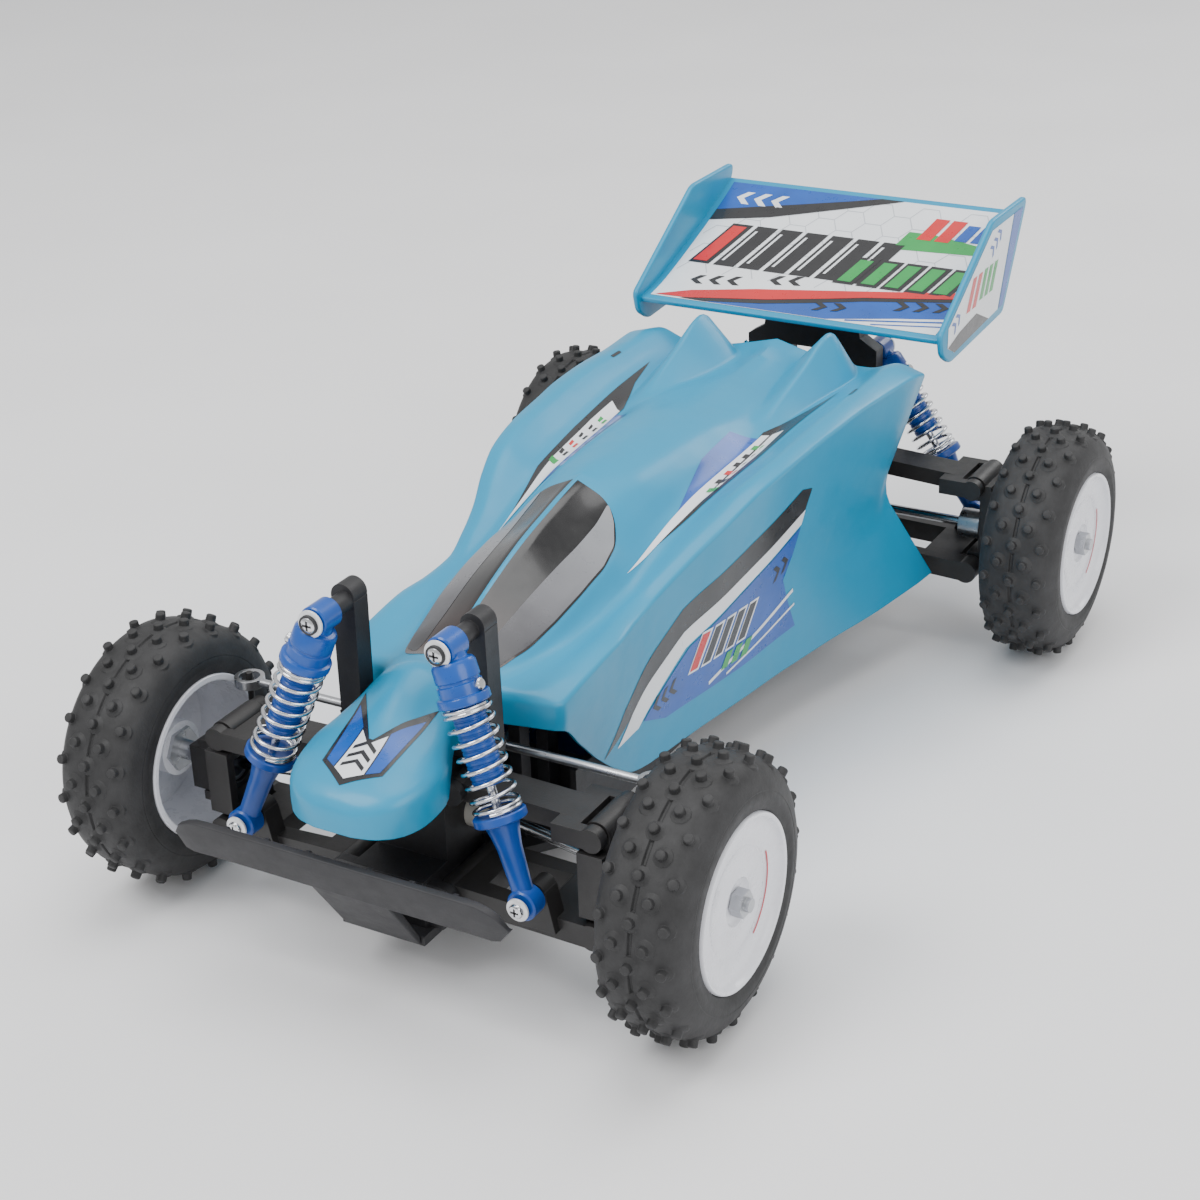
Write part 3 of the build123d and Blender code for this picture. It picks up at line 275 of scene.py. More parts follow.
def monotone(xs, ys, x):
    """Smooth interpolation that never overshoots its table."""
    n = len(xs)
    slopes = [(ys[i + 1] - ys[i]) / (xs[i + 1] - xs[i]) for i in range(n - 1)]
    tangents = [slopes[0]]
    for a, b in zip(slopes, slopes[1:]):
        tangents.append(0 if a * b <= 0 else 2 * a * b / (a + b))
    tangents.append(slopes[-1])
    i = max(0, min(n - 2, next((k for k in range(n - 1) if x < xs[k + 1]), n - 2)))
    h = xs[i + 1] - xs[i]
    t = (x - xs[i]) / h
    return ((2 * t ** 3 - 3 * t ** 2 + 1) * ys[i] + (t ** 3 - 2 * t ** 2 + t) * h * tangents[i]
            + (-2 * t ** 3 + 3 * t ** 2) * ys[i + 1] + (t ** 3 - t ** 2) * h * tangents[i + 1])


# ---- materials ----
MIX_FACTOR, MIX_A, MIX_B, MIX_RESULT = 0, 6, 7, 2
BLUE = (0, 0.27, 0.48)
INK = (0.012, 0.012, 0.014)
PAPER = (0.82, 0.85, 0.88)
BLACK_PLASTIC = (0.022, 0.021, 0.021)
RELIEF_DEPTH = 0.15         # millimetres
SMUDGE_SHARE = 0.35         # of the mottle's size
COAT_ROUGHNESS = 0.08


def node(tree, kind, settings=None, **inputs):
    """A new shader node with its settings and input values."""
    made = tree.nodes.new("ShaderNode" + kind)
    for key, value in (settings or {}).items():
        setattr(made, key, value)
    for key, value in inputs.items():
        made.inputs[key.replace("_", " ")].default_value = value
    return made


def ranged(tree, source, from_low, from_high, to_low=0, to_high=1):
    """The source value mapped from one range to another, clamped."""
    remap = node(tree, "MapRange", From_Min=from_low, From_Max=from_high, To_Min=to_low, To_Max=to_high)
    tree.links.new(source, remap.inputs["Value"])
    return remap.outputs[0]


def noise(tree, where, size, detail, roughness):
    """Noise of a size in millimetres."""
    made = node(tree, "TexNoise", Scale=1 / (size * MM), Detail=detail, Roughness=roughness)
    tree.links.new(where, made.inputs["Vector"])
    return made.outputs[0]


def mixed(tree, factor, a, b):
    """A colour mix; a and b are colours or sockets."""
    mix = node(tree, "Mix", {"data_type": "RGBA"})
    tree.links.new(factor, mix.inputs[MIX_FACTOR])
    for index, value in ((MIX_A, a), (MIX_B, b)):
        if isinstance(value, tuple):
            mix.inputs[index].default_value = (*value, 1)
        else:
            tree.links.new(value, mix.inputs[index])
    return mix.outputs[MIX_RESULT]


def shade(colour, factor):
    return tuple(min(1, c * factor) for c in colour)


def new_material(name):
    """A new material with its node tree, its shader and the place on the surface."""
    material = bpy.data.materials.new(name)
    material.use_nodes = True
    tree = material.node_tree
    return material, tree, tree.nodes["Principled BSDF"], node(tree, "TexCoord").outputs["Object"]


def rubbed(tree, base, colour, rounded_normal, smudge, wear):
    """The base colour, lighter where handling has rubbed the edges."""
    facing = node(tree, "VectorMath", {"operation": "DOT_PRODUCT"})
    tree.links.new(rounded_normal, facing.inputs[0])
    tree.links.new(node(tree, "NewGeometry").outputs["Normal"], facing.inputs[1])
    broken = node(tree, "Math", {"operation": "MULTIPLY"})
    tree.links.new(ranged(tree, facing.outputs["Value"], 0.97, 0.82), broken.inputs[0])
    tree.links.new(ranged(tree, smudge, 0.4, 0.6, 0, wear), broken.inputs[1])
    lighter = tuple(min(1, c * 1.6 + 0.05) for c in colour)
    return mixed(tree, broken.outputs[0], base, lighter)


def surface(name, colour, rough=0.4, metallic=0, coat=0, vary=0.08, grain=0.15, grain_size=0.6,
            wear=0, streak=1, mottle_size=14, soft_edge=0.25, tint=None):
    """A procedural finish: mottled colour, uneven roughness, fine relief and rubbed edges.

    Sizes are in millimetres; streak above 1 stretches the grain along Y; tint makes the colour from
    the place on the surface, and is used to paint highlights into it.
    """
    material, tree, shader, where = new_material(name)
    stretch = node(tree, "Mapping", Scale=(1, 1 / streak, 1))
    tree.links.new(where, stretch.inputs["Vector"])
    mottle = noise(tree, where, mottle_size, 4, 0.6)
    smudge = noise(tree, where, mottle_size * SMUDGE_SHARE, 6, 0.7)
    relief = noise(tree, stretch.outputs[0], grain_size, 3, 0.55)
    darker = shade(colour, 1 - vary)
    if tint:
        base = mixed(tree, ranged(tree, mottle, 0.3, 0.7, 0, vary), tint(tree, where), darker)
    else:
        base = mixed(tree, ranged(tree, mottle, 0.3, 0.7), darker, shade(colour, 1 + vary))
    edges = node(tree, "Bevel", {"samples": 4}, Radius=soft_edge * MM).outputs[0]
    if wear:
        base = rubbed(tree, base, colour, edges, smudge, wear)
    bump = node(tree, "Bump", Strength=grain, Distance=RELIEF_DEPTH * MM)
    gloss = ranged(tree, smudge, 0.3, 0.75, max(0.03, rough - 0.06), min(1, rough + 0.09))
    tree.links.new(relief, bump.inputs["Height"])
    tree.links.new(edges, bump.inputs["Normal"])
    tree.links.new(base, shader.inputs["Base Color"])
    tree.links.new(gloss, shader.inputs["Roughness"])
    tree.links.new(bump.outputs[0], shader.inputs["Normal"])
    shader.inputs["Metallic"].default_value = metallic
    shader.inputs["Coat Weight"].default_value = coat
    shader.inputs["Coat Roughness"].default_value = COAT_ROUGHNESS
    return material


def ink(name, colour, rough=0.3, coat=0.4, vary=0.08):
    """A printed colour, smooth and slightly glossy."""
    return surface("decal_" + name, colour, rough=rough, coat=coat, vary=vary, grain=0.06)


def fade_back(tree, where, start, end):
    """0 to 1 between two distances behind the front axle, in millimetres."""
    split = node(tree, "SeparateXYZ")
    tree.links.new(where, split.inputs[0])
    return ranged(tree, split.outputs["Y"], (FRONT_Y + start) * MM, (FRONT_Y + end) * MM)


def canopy_painted_highlight(tree, where):
    """Near black above, with a painted warm highlight towards the windscreen's foot."""
    return mixed(tree, fade_back(tree, where, 45, 14), (0.006, 0.006, 0.007), (0.055, 0.035, 0.032))


def window_painted_sheen(tree, where):
    """Grey side window, lighter towards its upper rear corner as a painted sheen."""
    lower = mixed(tree, fade_back(tree, where, 22, 50), (0.03, 0.03, 0.034), (0.1, 0.1, 0.112))
    return mixed(tree, fade_back(tree, where, 42, 90), lower, (0.3, 0.31, 0.33))


PAINT = {"rough": 0.36, "coat": 0.08, "vary": 0.03, "grain": 0.05, "grain_size": 1.4, "mottle_size": 30}
MATERIALS = {
    "shell": surface("shell_paint", BLUE, soft_edge=0.5, **PAINT),
    "shell_rim": surface("shell_cut_edge", shade(BLUE, 0.8), rough=0.4, grain=0.2),
    # The canopy's black print, with a painted warm highlight at its front.
    "canopy": surface("canopy_print_painted_highlight", INK, rough=0.2, coat=0.35, vary=0.1, grain=0.04, tint=canopy_painted_highlight),
    # The side windows' grey print, lightened towards the rear by a painted sheen.
    "window": surface("window_print_painted_sheen", (0.07, 0.07, 0.08), rough=0.3, coat=0.12, vary=0.12, grain=0.04,
        tint=window_painted_sheen),
    "black": ink("black", INK),
    "white": ink("white", PAPER, rough=0.32, vary=0.03),
    "blue": ink("blue", (0, 0.08, 0.4), vary=0.12),
    "red": ink("red", (0.62, 0.012, 0.015)),
    "green": ink("green", (0.01, 0.32, 0.06)),
    "grey": ink("grey", (0.5, 0.53, 0.57), rough=0.35, coat=0.3),
    "wing": surface("wing_paint", BLUE, **PAINT),
    "bumper": surface("bumper_plastic", (0.02, 0.02, 0.023), rough=0.55, vary=0.2, grain=0.4,
        grain_size=0.5, wear=0.5),
    "arm": surface("arm_plastic", BLACK_PLASTIC, rough=0.45, vary=0.2, grain=0.3, grain_size=0.5, wear=0.45),
    "gearbox": surface("gearbox_plastic", (0.018, 0.018, 0.02), rough=0.5, vary=0.2, grain=0.35, wear=0.4),
    "tub": surface("tub_plastic", (0.02, 0.02, 0.022), rough=0.55, vary=0.18, grain=0.4, grain_size=0.7,
        wear=0.4),
    "radio": surface("radio_case", (0.03, 0.03, 0.034), rough=0.5, vary=0.15, grain=0.4, wear=0.3),
    "tyre": surface("tyre_rubber", (0.021, 0.021, 0.022), rough=0.62, vary=0.35, grain=0.5, grain_size=0.9,
        mottle_size=9, wear=0.25, soft_edge=0.35),
    "wheel": surface("wheel_plastic", (0.78, 0.79, 0.84), rough=0.28, coat=0.35, vary=0.03, grain=0.06,
        grain_size=1, soft_edge=0.3),
    "damper_blue": surface("damper_blue", (0, 0.07, 0.36), rough=0.3, coat=0.3, vary=0.1, grain=0.12,
        grain_size=0.4, wear=0.35),
    "rod_end": surface("rod_end_blue", (0, 0.06, 0.33), rough=0.34, coat=0.2, vary=0.1, wear=0.3),
    "spring": surface("spring_wire", (0.72, 0.73, 0.76), rough=0.16, metallic=1, vary=0.06, grain=0.1,
        grain_size=0.3, streak=6, soft_edge=0.05),
    "chrome": surface("polished_steel", (0.66, 0.67, 0.69), rough=0.18, metallic=1, vary=0.06, grain=0.1,
        grain_size=0.3, streak=8, soft_edge=0.1),
    "steel": surface("turned_steel", (0.47, 0.48, 0.5), rough=0.3, metallic=1, vary=0.1, grain=0.2,
        grain_size=0.3, streak=6),
    "washer": surface("washer_plate", (0.8, 0.81, 0.83), rough=0.3, metallic=0.35, vary=0.05, grain=0.1),
    "motor": surface("motor_can", (0.42, 0.43, 0.45), rough=0.32, metallic=1, vary=0.1, grain=0.2, streak=10),
    "battery": surface("battery_sleeve", (0.01, 0.05, 0.22), rough=0.3, coat=0.4, vary=0.2, grain=0.2,
        grain_size=1.5),
    "nylon": surface("gear_nylon", (0.62, 0.6, 0.54), rough=0.45, vary=0.06, wear=0.2),
    "switch": surface("switch_plastic", (0.05, 0.05, 0.05), rough=0.5, grain=0.3, wear=0.3),
    "red_line": surface("wheel_red_print", (0.55, 0.02, 0.04), rough=0.35, grain=0.08),
}
CAD_FINISH = {
    "arm": ("lower_arm", "upper_arm", "hub_carrier", "knuckle", "steering_crank"),
    "steel": ("axle", "chassis_screws", "propeller_shaft", "motor_pinion", "tie_rod"),
    "chrome": ("drive_shaft",), "tub": ("chassis_tub",), "gearbox": ("gearbox",), "radio": ("radio_box",),
    "motor": ("motor",), "battery": ("battery_pack",), "switch": ("power_switch",),
    "nylon": ("differential",),
}


def dress_cad():
    """Gives the CAD pieces that stay in view their finishes."""
    for name, piece in frame["nodes"].items():
        finish = next((f for f, ends in CAD_FINISH.items() if name.endswith(ends)), None)
        if finish is None:
            continue
        piece.data.materials.clear()
        piece.data.materials.append(MATERIALS[finish])


# ---- wheels ----
SPIKE_HEIGHT = 2.6          # of the middle rows, over the carcass
SPIKE_ROWS, SPIKES_AROUND = 5, 20
SPIKE_MARGIN = 5.0          # from the tyre's edge to its outer rows
SPIKE_LEAN = 0.16           # of the outer rows
BEAD_R = 25.2
DRAWN_HALF_WIDTH = 14.1     # of a tyre that has the profile below
# from the parting groove out over the shoulder and down the ribbed sidewall:
# distance from the tyre's middle and depth under its crown, then height over the bead
TREAD = [(0, 0.75), (0.35, 0.7), (0.75, 0.05), (3.5, 0), (7, 0.25), (9.6, 1), (11.6, 2.6), (12.9, 4.8),
         (13.6, 7.2), (13.85, 8), (13.75, 8.3), (13.9, 8.7), (14, 10.6), (13.7, 11.2)]
BEAD = [(13.6, 1.1), (13.3, 0.4), (12.6, 0)]
# depth behind the rim's outer face and radius, over the lip, down the dish and back behind the hub
RIM_FACE = [(0.5, 25.2), (0, 24.9), (-0.1, 24.4), (0.2, 23.9), (1.2, 23.5), (1.9, 23), (2.6, 21.6),
            (3, 19.5), (3.15, 16.4), (3, 16.1), (3, 15.6), (3.3, 15.2), (3.5, 11), (3.2, 8.6),
            (2.7, 7.6), (2.5, 6.9), (3.2, 6.4), (3.6, 5.6), (3.6, 3.1), (16.9, 3.1), (16.9, 8.5), (6.2, 8.5),
            (5.4, 19.5), (6.5, 22.4)]
ARC_RADII = (18.3, 18.9)
ARC_START, ARC_SWEEP = 0.55, 1.35
ARC_STEPS = 40


def wheel_place(name):
    """The inner end of a wheel part on its axle, the way outwards, and its width in millimetres."""
    low, high = box_mm(name)
    outwards = 1 if high.x > 0 else -1
    inner_x = low.x if outwards > 0 else high.x
    origin = Vector((inner_x, (low.y + high.y) / 2, AXLE_Z)) * MM
    return origin, Vector((outwards, 0, 0)), high.x - low.x


def make_spikes(origin, axis, width, crown):
    """Rows of round pins; those of the outer rows are longer and lean out."""
    spikes = []
    for row in range(SPIKE_ROWS):
        along = SPIKE_MARGIN + (width - 2 * SPIKE_MARGIN) * row / (SPIKE_ROWS - 1)
        foot, tip, lean = crown - 0.3, 2.85, 0
        if row in (0, SPIKE_ROWS - 1):
            foot, tip, lean = crown - 1.9, 3.1, SPIKE_LEAN if row else -SPIKE_LEAN
        profile = [(-0.6, 3), (0.25, 2.75), (0.6, 2), (0.85, 1.55), (tip - 0.35, 1.45), (tip - 0.08, 1.2),
                   (tip, 0.75), (tip, 0)]
        for k in range(SPIKES_AROUND):
            angle = 2 * pi * (k + 0.5 * (row % 2)) / SPIKES_AROUND
            away = Vector((0, sin(angle), cos(angle)))
            at = origin + (axis * along + away * foot) * MM
            spikes.append(lathe("spike", profile, at, away + axis * lean, "tyre", 12))
    return spikes


def make_tyre(corner):
    """A hollow tyre with a parting groove, ribbed sidewalls and rows of spikes."""
    origin, axis, width = wheel_place(f"{corner}_tyre")
    crown = AXLE_Z - SPIKE_HEIGHT
    half = width / 2
    scale = half / DRAWN_HALF_WIDTH
    profile = [(half + a * scale, crown - depth) for a, depth in TREAD]
    profile += [(half + a * scale, BEAD_R + height) for a, height in BEAD]
    profile += [(width - 4.6, BEAD_R + 0.3), (width - 5.2, BEAD_R + 4), (half, crown - 4)]
    profile += [(width - a, r) for a, r in reversed(profile[:-1])]
    carcass = lathe("tyre_carcass", profile, origin, axis, "tyre", 112)
    tyre = joined(f"{corner}_tyre_rubber", [carcass] + make_spikes(origin, axis, width, crown))
    fit(tyre, f"{corner}_wheel", f"{corner}_tyre")


def make_rim(corner):
    """A dished wheel with a thin printed arc on its face."""
    origin, axis, width = wheel_place(f"{corner}_rim")
    face = [(width - depth, r) for depth, r in RIM_FACE]
    profile = [(0, 25), (0.4, 25.3), *face, (0.4, 23.1), (0, 23.6)]
    rim = lathe(f"{corner}_rim_dish", profile, origin, axis, "wheel", 128, closed=True)
    fit(rim, f"{corner}_wheel", f"{corner}_rim")
    start, sweep = (ARC_START, ARC_SWEEP) if axis.x > 0 else (pi - ARC_START, -ARC_SWEEP)
    points = []
    for k in range(ARC_STEPS + 1):
        angle = start + sweep * k / ARC_STEPS - pi / 2
        for radius in ARC_RADII:
            offset = Vector((0, cos(angle), sin(angle))) * radius
            points.append(origin + (axis * (width - 2.93 + (radius - 18) * 0.12) + offset) * MM)
    arc = mesh_object(f"{corner}_rim_arc", points, grid_faces(ARC_STEPS + 1, len(ARC_RADII)), "red_line")
    fit(arc, f"{corner}_wheel")


# ---- dampers ----
DAMPER_LENGTH = {"front": 72.8, "rear": 69.35}
ROD_SHOW = 25.8             # from the spring's lower seat to the lower eye
CYLINDER_TO_EYE = 34        # from the cylinder's end to the lower eye
CYLINDER_R, THREAD_R = 4.7, 4.45
THREAD_START, THREAD_PITCH = 18, 1.4
ROD_R = 1.3
EYE_HALF = 3
SPRING_TOP = 16.1           # under the cap's collar
SPRING_R, WIRE_R, SPRING_TURNS = 6.4, 0.62, 9.2
# round shoulder with two grip rings, then the collar that the spring sits under
CAP_PROFILE = [(3.4, 0), (3.4, 4.2), (4, 5.6), (5, 6.2), (9, 6.3), (9.3, 5.9), (10, 5.9), (10.3, 6.35),
               (13.2, 6.4), (13.5, 7.2), (13.8, 7.4), (15.7, 7.4), (16, 7.1), (16, 0)]
NECK_PROFILE = [(0, 0), (0, 4), (0.4, 4.4), (7.6, 4.4), (8, 4), (8, 0)]
BRIDGE_PROFILE = [(0.5, 0), (0.5, 3.6), (4.2, 4.6), (4.2, 0)]
EYE_PROFILE = [(0, 2.2), (0, 4), (0.5, 4.5), (5.5, 4.5), (6, 4), (6, 2.2)]
BLEED_PROFILE = [(-0.6, 0), (-0.6, 1.7), (0.9, 1.7), (1.3, 1.3), (1.4, 0)]


def screw_head(name, centre, axis, radius, body):
    """A pan-head cross-recess screw on its washer, facing along the axis; its recess is painted shade."""
    washer_profile = [(0, 0), (0, radius * 1.45), (0.25, radius * 1.55), (0.8, radius * 1.55),
                      (1, radius * 1.4), (1, 0)]
    head_profile = [(0, radius), (0.5, radius), (1, radius * 0.85), (1.3, radius * 0.5), (1.35, 0)]
    top = centre + axis * MM
    parts = [lathe("washer", washer_profile, centre, axis, "washer", 32),
             lathe("head", head_profile, top, axis, "chrome", 32)]
    # The recess is not cut: two dark bars of black plastic lie across the head as painted shade.
    first, second = cross_axes(axis)
    recess_shade_top = top + axis * 1.38 * MM
    half_long, half_short, deep = radius * 0.55 * MM, radius * 0.13 * MM, 0.5 * MM
    faces = [(0, 2, 6, 4), (1, 5, 7, 3), (0, 1, 3, 2), (4, 6, 7, 5), (0, 4, 5, 1), (2, 3, 7, 6)]
    for a, b in ((first, second), (second, first)):
        points = [recess_shade_top + a * i * half_long + b * j * half_short - axis * k * deep
                  for i in (-1, 1) for j in (-1, 1) for k in (0, 1)]
        parts.append(sharpen(mesh_object("slot", points, faces, "gearbox", False)))
    fit(joined(name, parts), body)


def make_damper_body(corner, top, down, cylinder_end):
    """The cap with its neck round the upper bolt, and the threaded cylinder."""
    profile = [(15.9, CYLINDER_R), (THREAD_START, CYLINDER_R)]
    thread = THREAD_START
    while thread < cylinder_end - 2.5:
        profile += [(thread + 0.35, CYLINDER_R), (thread + 0.6, THREAD_R), (thread + 0.85, THREAD_R),
                    (thread + 1.1, CYLINDER_R)]
        thread += THREAD_PITCH
    profile += [(cylinder_end - 1.2, CYLINDER_R), (cylinder_end, 4.2), (cylinder_end, 1.4)]
    neck_start = top - ALONG_Y * 4 * MM
    body = joined(f"{corner}_damper_case", [
        lathe("cap_body", CAP_PROFILE, top, down, "damper_blue", 48),
        lathe("cap_neck", NECK_PROFILE, neck_start, ALONG_Y, "damper_blue", 40),
        lathe("cap_bridge", BRIDGE_PROFILE, top, down, "damper_blue", 40),
        lathe("cylinder", profile, top, down, "damper_blue", 48),
    ])
    fit(body, f"{corner}_damper", f"{corner}_damper_body")


def make_damper_rod(corner, top, down, length):
    """The polished rod, the spring's lower seat and the lower eye."""
    inside = length - CYLINDER_TO_EYE - 7.9
    seat = length - ROD_SHOW
    rod_profile = [(inside, 0), (inside, ROD_R), (seat + 0.5, ROD_R), (seat + 0.5, 0)]
    seat_profile = [(seat, ROD_R), (seat, 7.2), (seat + 0.3, 7.5), (seat + 2.2, 7.5), (seat + 2.6, 7.1),
                    (seat + 3, 4.9), (seat + 6, 4.2), (seat + 10, 3.5), (length - 7, 3.1),
                    (length - 3.4, 3), (length - 3.4, 0)]
    eye_start = top + (down * length - ALONG_Y * EYE_HALF) * MM
    rod = joined(f"{corner}_rod", [
        lathe("rod_shaft", rod_profile, top, down, "chrome", 24),
        lathe("rod_seat", seat_profile, top, down, "rod_end", 40),
        lathe("rod_eye", EYE_PROFILE, eye_start, ALONG_Y, "rod_end", 40, closed=True),
    ])
    fit(rod, f"{corner}_damper_rod", f"{corner}_damper_rod")


def make_spring(corner, top, down, length):
    """The coil between the cap's collar and the rod's seat, on a mesh of its own."""
    free_length = length - ROD_SHOW - SPRING_TOP - 0.1
    start = top + down * SPRING_TOP * MM
    spring = coil(f"{corner}_spring_coil", start, down, free_length, SPRING_R, WIRE_R, SPRING_TURNS, "spring")
    fit(spring, f"{corner}_damper", f"{corner}_spring")
    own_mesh(spring)


def make_damper(corner):
    """One coil-over damper, its two bolts and the bleed screw on its cap's side."""
    end = corner.split("_")[0]
    top = Vector(JOINTS[f"{corner}_damper_pivot"]["pos_m"])
    down = -Vector(JOINTS[f"{corner}_damper_slide"]["axis"]).normalized()
    length = DAMPER_LENGTH[end]
    make_damper_body(corner, top, down, length - CYLINDER_TO_EYE)
    make_damper_rod(corner, top, down, length)
    make_spring(corner, top, down, length)
    facing = -ALONG_Y if end == "front" else ALONG_Y
    foot = top + down * length * MM
    screw_head(f"{corner}_damper_bolt", top + facing * 4.6 * MM, facing, 2.6, "chassis")
    screw_head(f"{corner}_damper_foot_bolt", foot + facing * 4.0 * MM, facing, 2.2, f"{corner}_lower_arm")
    side = down.cross(ALONG_Y).normalized()
    side = side if side.z > 0 else -side
    bleed_at = top + (down * 11.5 + side * 6.3) * MM
    bleed = lathe(f"{corner}_bleed_screw", BLEED_PROFILE, bleed_at, side, "chrome", 20)
    fit(bleed, f"{corner}_damper")


# ---- body shell ----
# Half cross-sections by their distance behind the front axle, as (x, z) from the spine out and down: spine,
# canopy crease, canopy foot, inner fin foot, fin ridge, valley, shoulder inside, shoulder ridge, waist, sill.
SHELL_SECTIONS = {
    -40.6: [(0, 64.6), (1.5, 64.6), (3, 64.5), (3.8, 64.4), (4.6, 64.2), (5.4, 63.9), (6, 63.4), (6.3, 62.6),
        (6.3, 60), (6.1, 57.8)],
    -38.6: [(0, 67.6), (3, 67.6), (6, 67.3), (7.6, 67.1), (9.1, 66.8), (10.5, 66.3), (11.8, 65.6),
        (12.6, 64.4), (12.8, 61), (12.6, 57.6)],
    -34: [(0, 70.6), (4, 70.6), (8, 70.4), (10.7, 70.1), (13.2, 69.6), (15.4, 68.9), (17.2, 67.8),
        (18.2, 66.2), (18.5, 62), (18.2, 57.6)],
    -26: [(0, 73.3), (4.5, 73.2), (9, 72.9), (12, 72.5), (15, 71.9), (17.6, 71.1), (19.8, 69.9), (21.2, 68),
        (21.6, 64), (21.4, 58.3)],
    -18: [(0, 77), (5, 76.2), (9.5, 75.4), (12.5, 74.8), (15.5, 74.1), (18.3, 73), (20.6, 71.5), (22, 69.5),
        (22.3, 66), (22, 60)],
    -11: [(0, 81.8), (5, 80.4), (9.5, 77.8), (12.5, 76.8), (15, 76), (17.2, 75), (18.6, 73.6), (19.4, 71.6),
        (19.6, 69), (19.4, 64.5)],
    -4: [(0, 86.4), (5, 84.8), (9.5, 81.5), (12, 80), (14, 78.8), (15.4, 77.5), (16.3, 76), (16.7, 74),
        (16.8, 72), (16.7, 69.5)],
    3: [(0, 88.7), (5, 87.6), (9.5, 84.6), (11.5, 82.8), (13.2, 81.2), (14.6, 79.6), (15.7, 77.6),
        (16.3, 75.5), (16.4, 72.5), (16.3, 69.7)],
    11: [(0, 86.4), (5, 85.8), (10, 84), (12.4, 83), (14, 81.6), (15.2, 80.2), (16, 78.6), (16.4, 76.5),
        (16.5, 73), (16.4, 69.7)],
    18.5: [(0, 85.6), (6, 84.8), (12.6, 82.6), (16, 80.8), (19, 80), (24, 79.6), (31, 79.2), (37.4, 76.8),
        (38.2, 73), (37.8, 68.5)],
    30: [(0, 90.2), (9.5, 87.4), (17.6, 83), (19.8, 81), (22.4, 80.3), (26, 80), (33, 80.8), (38.4, 79),
        (38.2, 70), (36.4, 58)],
    50: [(0, 98.5), (10.8, 92.8), (20.8, 87.2), (23.2, 83.4), (25.6, 82), (28.5, 81.8), (34, 83.2),
        (38.6, 81.6), (35.8, 62), (31, 41)],
    63: [(0, 103), (11.5, 95.5), (21.3, 90.2), (23.8, 86), (26, 84), (28.2, 83.2), (33, 84), (37, 82.4),
        (33.8, 58), (29.2, 31)],
    75: [(0, 106), (11.8, 98), (21, 92.6), (24, 88), (26, 85.6), (28.5, 84.6), (32.5, 85.3), (36.5, 83.8),
        (32.4, 56), (28.3, 24)],
    86: [(0, 108.4), (12, 101.5), (18.8, 95.4), (23.5, 90.5), (26.2, 88), (29, 87.5), (34, 89), (38.2, 87.5),
        (33.6, 56), (28.6, 22)],
    97: [(0, 110), (12.3, 105), (18, 99.4), (22.5, 94), (25.8, 91.4), (29.5, 90.8), (36, 93.2), (40.8, 91.8),
        (35.4, 57), (29.6, 21.5)],
    110: [(0, 110.2), (13, 107), (19, 101), (23, 96), (26.8, 94.2), (31.3, 94.6), (39.5, 98.8), (45.2, 97.8),
        (38.2, 58), (31.2, 21.5)],
    122: [(0, 110), (13.6, 107.3), (19.5, 102), (23.5, 97.8), (27.7, 96.4), (33.2, 98.2), (42.4, 103.6),
        (48.2, 102.2), (40, 60), (33, 21.5)],
    138: [(0, 109.8), (14, 107.4), (20, 102.8), (24, 99), (28.6, 97.8), (35.2, 100.6), (45, 106.6),
        (50.4, 104.8), (42, 61), (35.5, 21.6)],
    155: [(0, 109.4), (14.5, 107), (20.5, 103), (24.5, 100), (29, 99), (36, 102), (45.7, 108), (51.6, 106.2),
        (43, 61), (38.2, 22)],
    170: [(0, 108.2), (15, 105.8), (20, 103.6), (24, 101.8), (28.5, 100.4), (36, 103), (46.5, 109),
        (52.8, 107.2), (44, 60), (41.3, 22.5)],
    185: [(0, 107.2), (14, 105), (17.4, 104), (23.6, 106.2), (29.8, 101.8), (37, 104), (47, 109.5),
        (53.4, 107.4), (44.6, 59), (44.5, 23)],
    205: [(0, 106.4), (8, 104.2), (13, 103.4), (24.2, 112.6), (32.4, 102.5), (37, 104.2), (46.5, 109.2),
        (54, 106.6), (45.2, 57), (50, 24)],
    224: [(0, 107.6), (6, 105), (10.8, 103.8), (24.6, 118.6), (34.5, 102.9), (37, 104), (46, 108.6),
        (55.5, 106.2), (45.8, 58.5), (55.4, 26)],
    229: [(0, 108.2), (7, 105.2), (12.5, 104), (24.6, 116.6), (33, 103), (37, 103.8), (46, 108.2),
        (56, 105.6), (45.4, 61), (57.2, 27)],
    235.5: [(0, 109), (12, 106), (20, 104.2), (24.4, 104.6), (30, 103.4), (37, 103.4), (46, 107), (56, 104),
        (45, 66), (59.3, 28.6)],
}
CORNER_SOFTNESS = (0, 8, 1.6, 2, 0.8, 2.5, 3, 1.2, 8, 0)
ROW_STEP, NOSE_ROW_STEP = 2.2, 0.7
NOSE_ROWS_END = -36
SKIN = 1.1                  # thickness of the moulding
SWEEP_START, SHELL_END = 195, 235.5
WAIST_Z, WAIST_HEIGHT, WAIST_CUT = 62, 17, 10
SILL_TOP, SILL_HEIGHT, SILL_SWEEP = 45, 20, 4.5


def shell_rows():
    """Smoothly interpolated cross-sections, as (dy, rounded half outline)."""
    distances = list(SHELL_SECTIONS)
    sections = list(SHELL_SECTIONS.values())
    rows = []
    dy = distances[0]
    while dy < distances[-1] + 1e-6:
        half = []
        for line in zip(*sections):
            xs, zs = zip(*line)
            half.append((monotone(distances, xs, dy), monotone(distances, zs, dy)))
        rows.append((dy, soften(half, CORNER_SOFTNESS)))
        dy += NOSE_ROW_STEP if dy < NOSE_ROWS_END else ROW_STEP
    return rows


def rear_sweep(dy, z):
    """How far the rear edge is cut in at the waist and swept back at the sill, in millimetres."""
    share = max(0, (dy - SWEEP_START) / (SHELL_END - SWEEP_START)) ** 2
    waist = exp(-((z - WAIST_Z) / WAIST_HEIGHT) ** 2)
    sill = min(1, max(0, (SILL_TOP - z) / SILL_HEIGHT))
    return share * (SILL_SWEEP * sill - WAIST_CUT * waist)


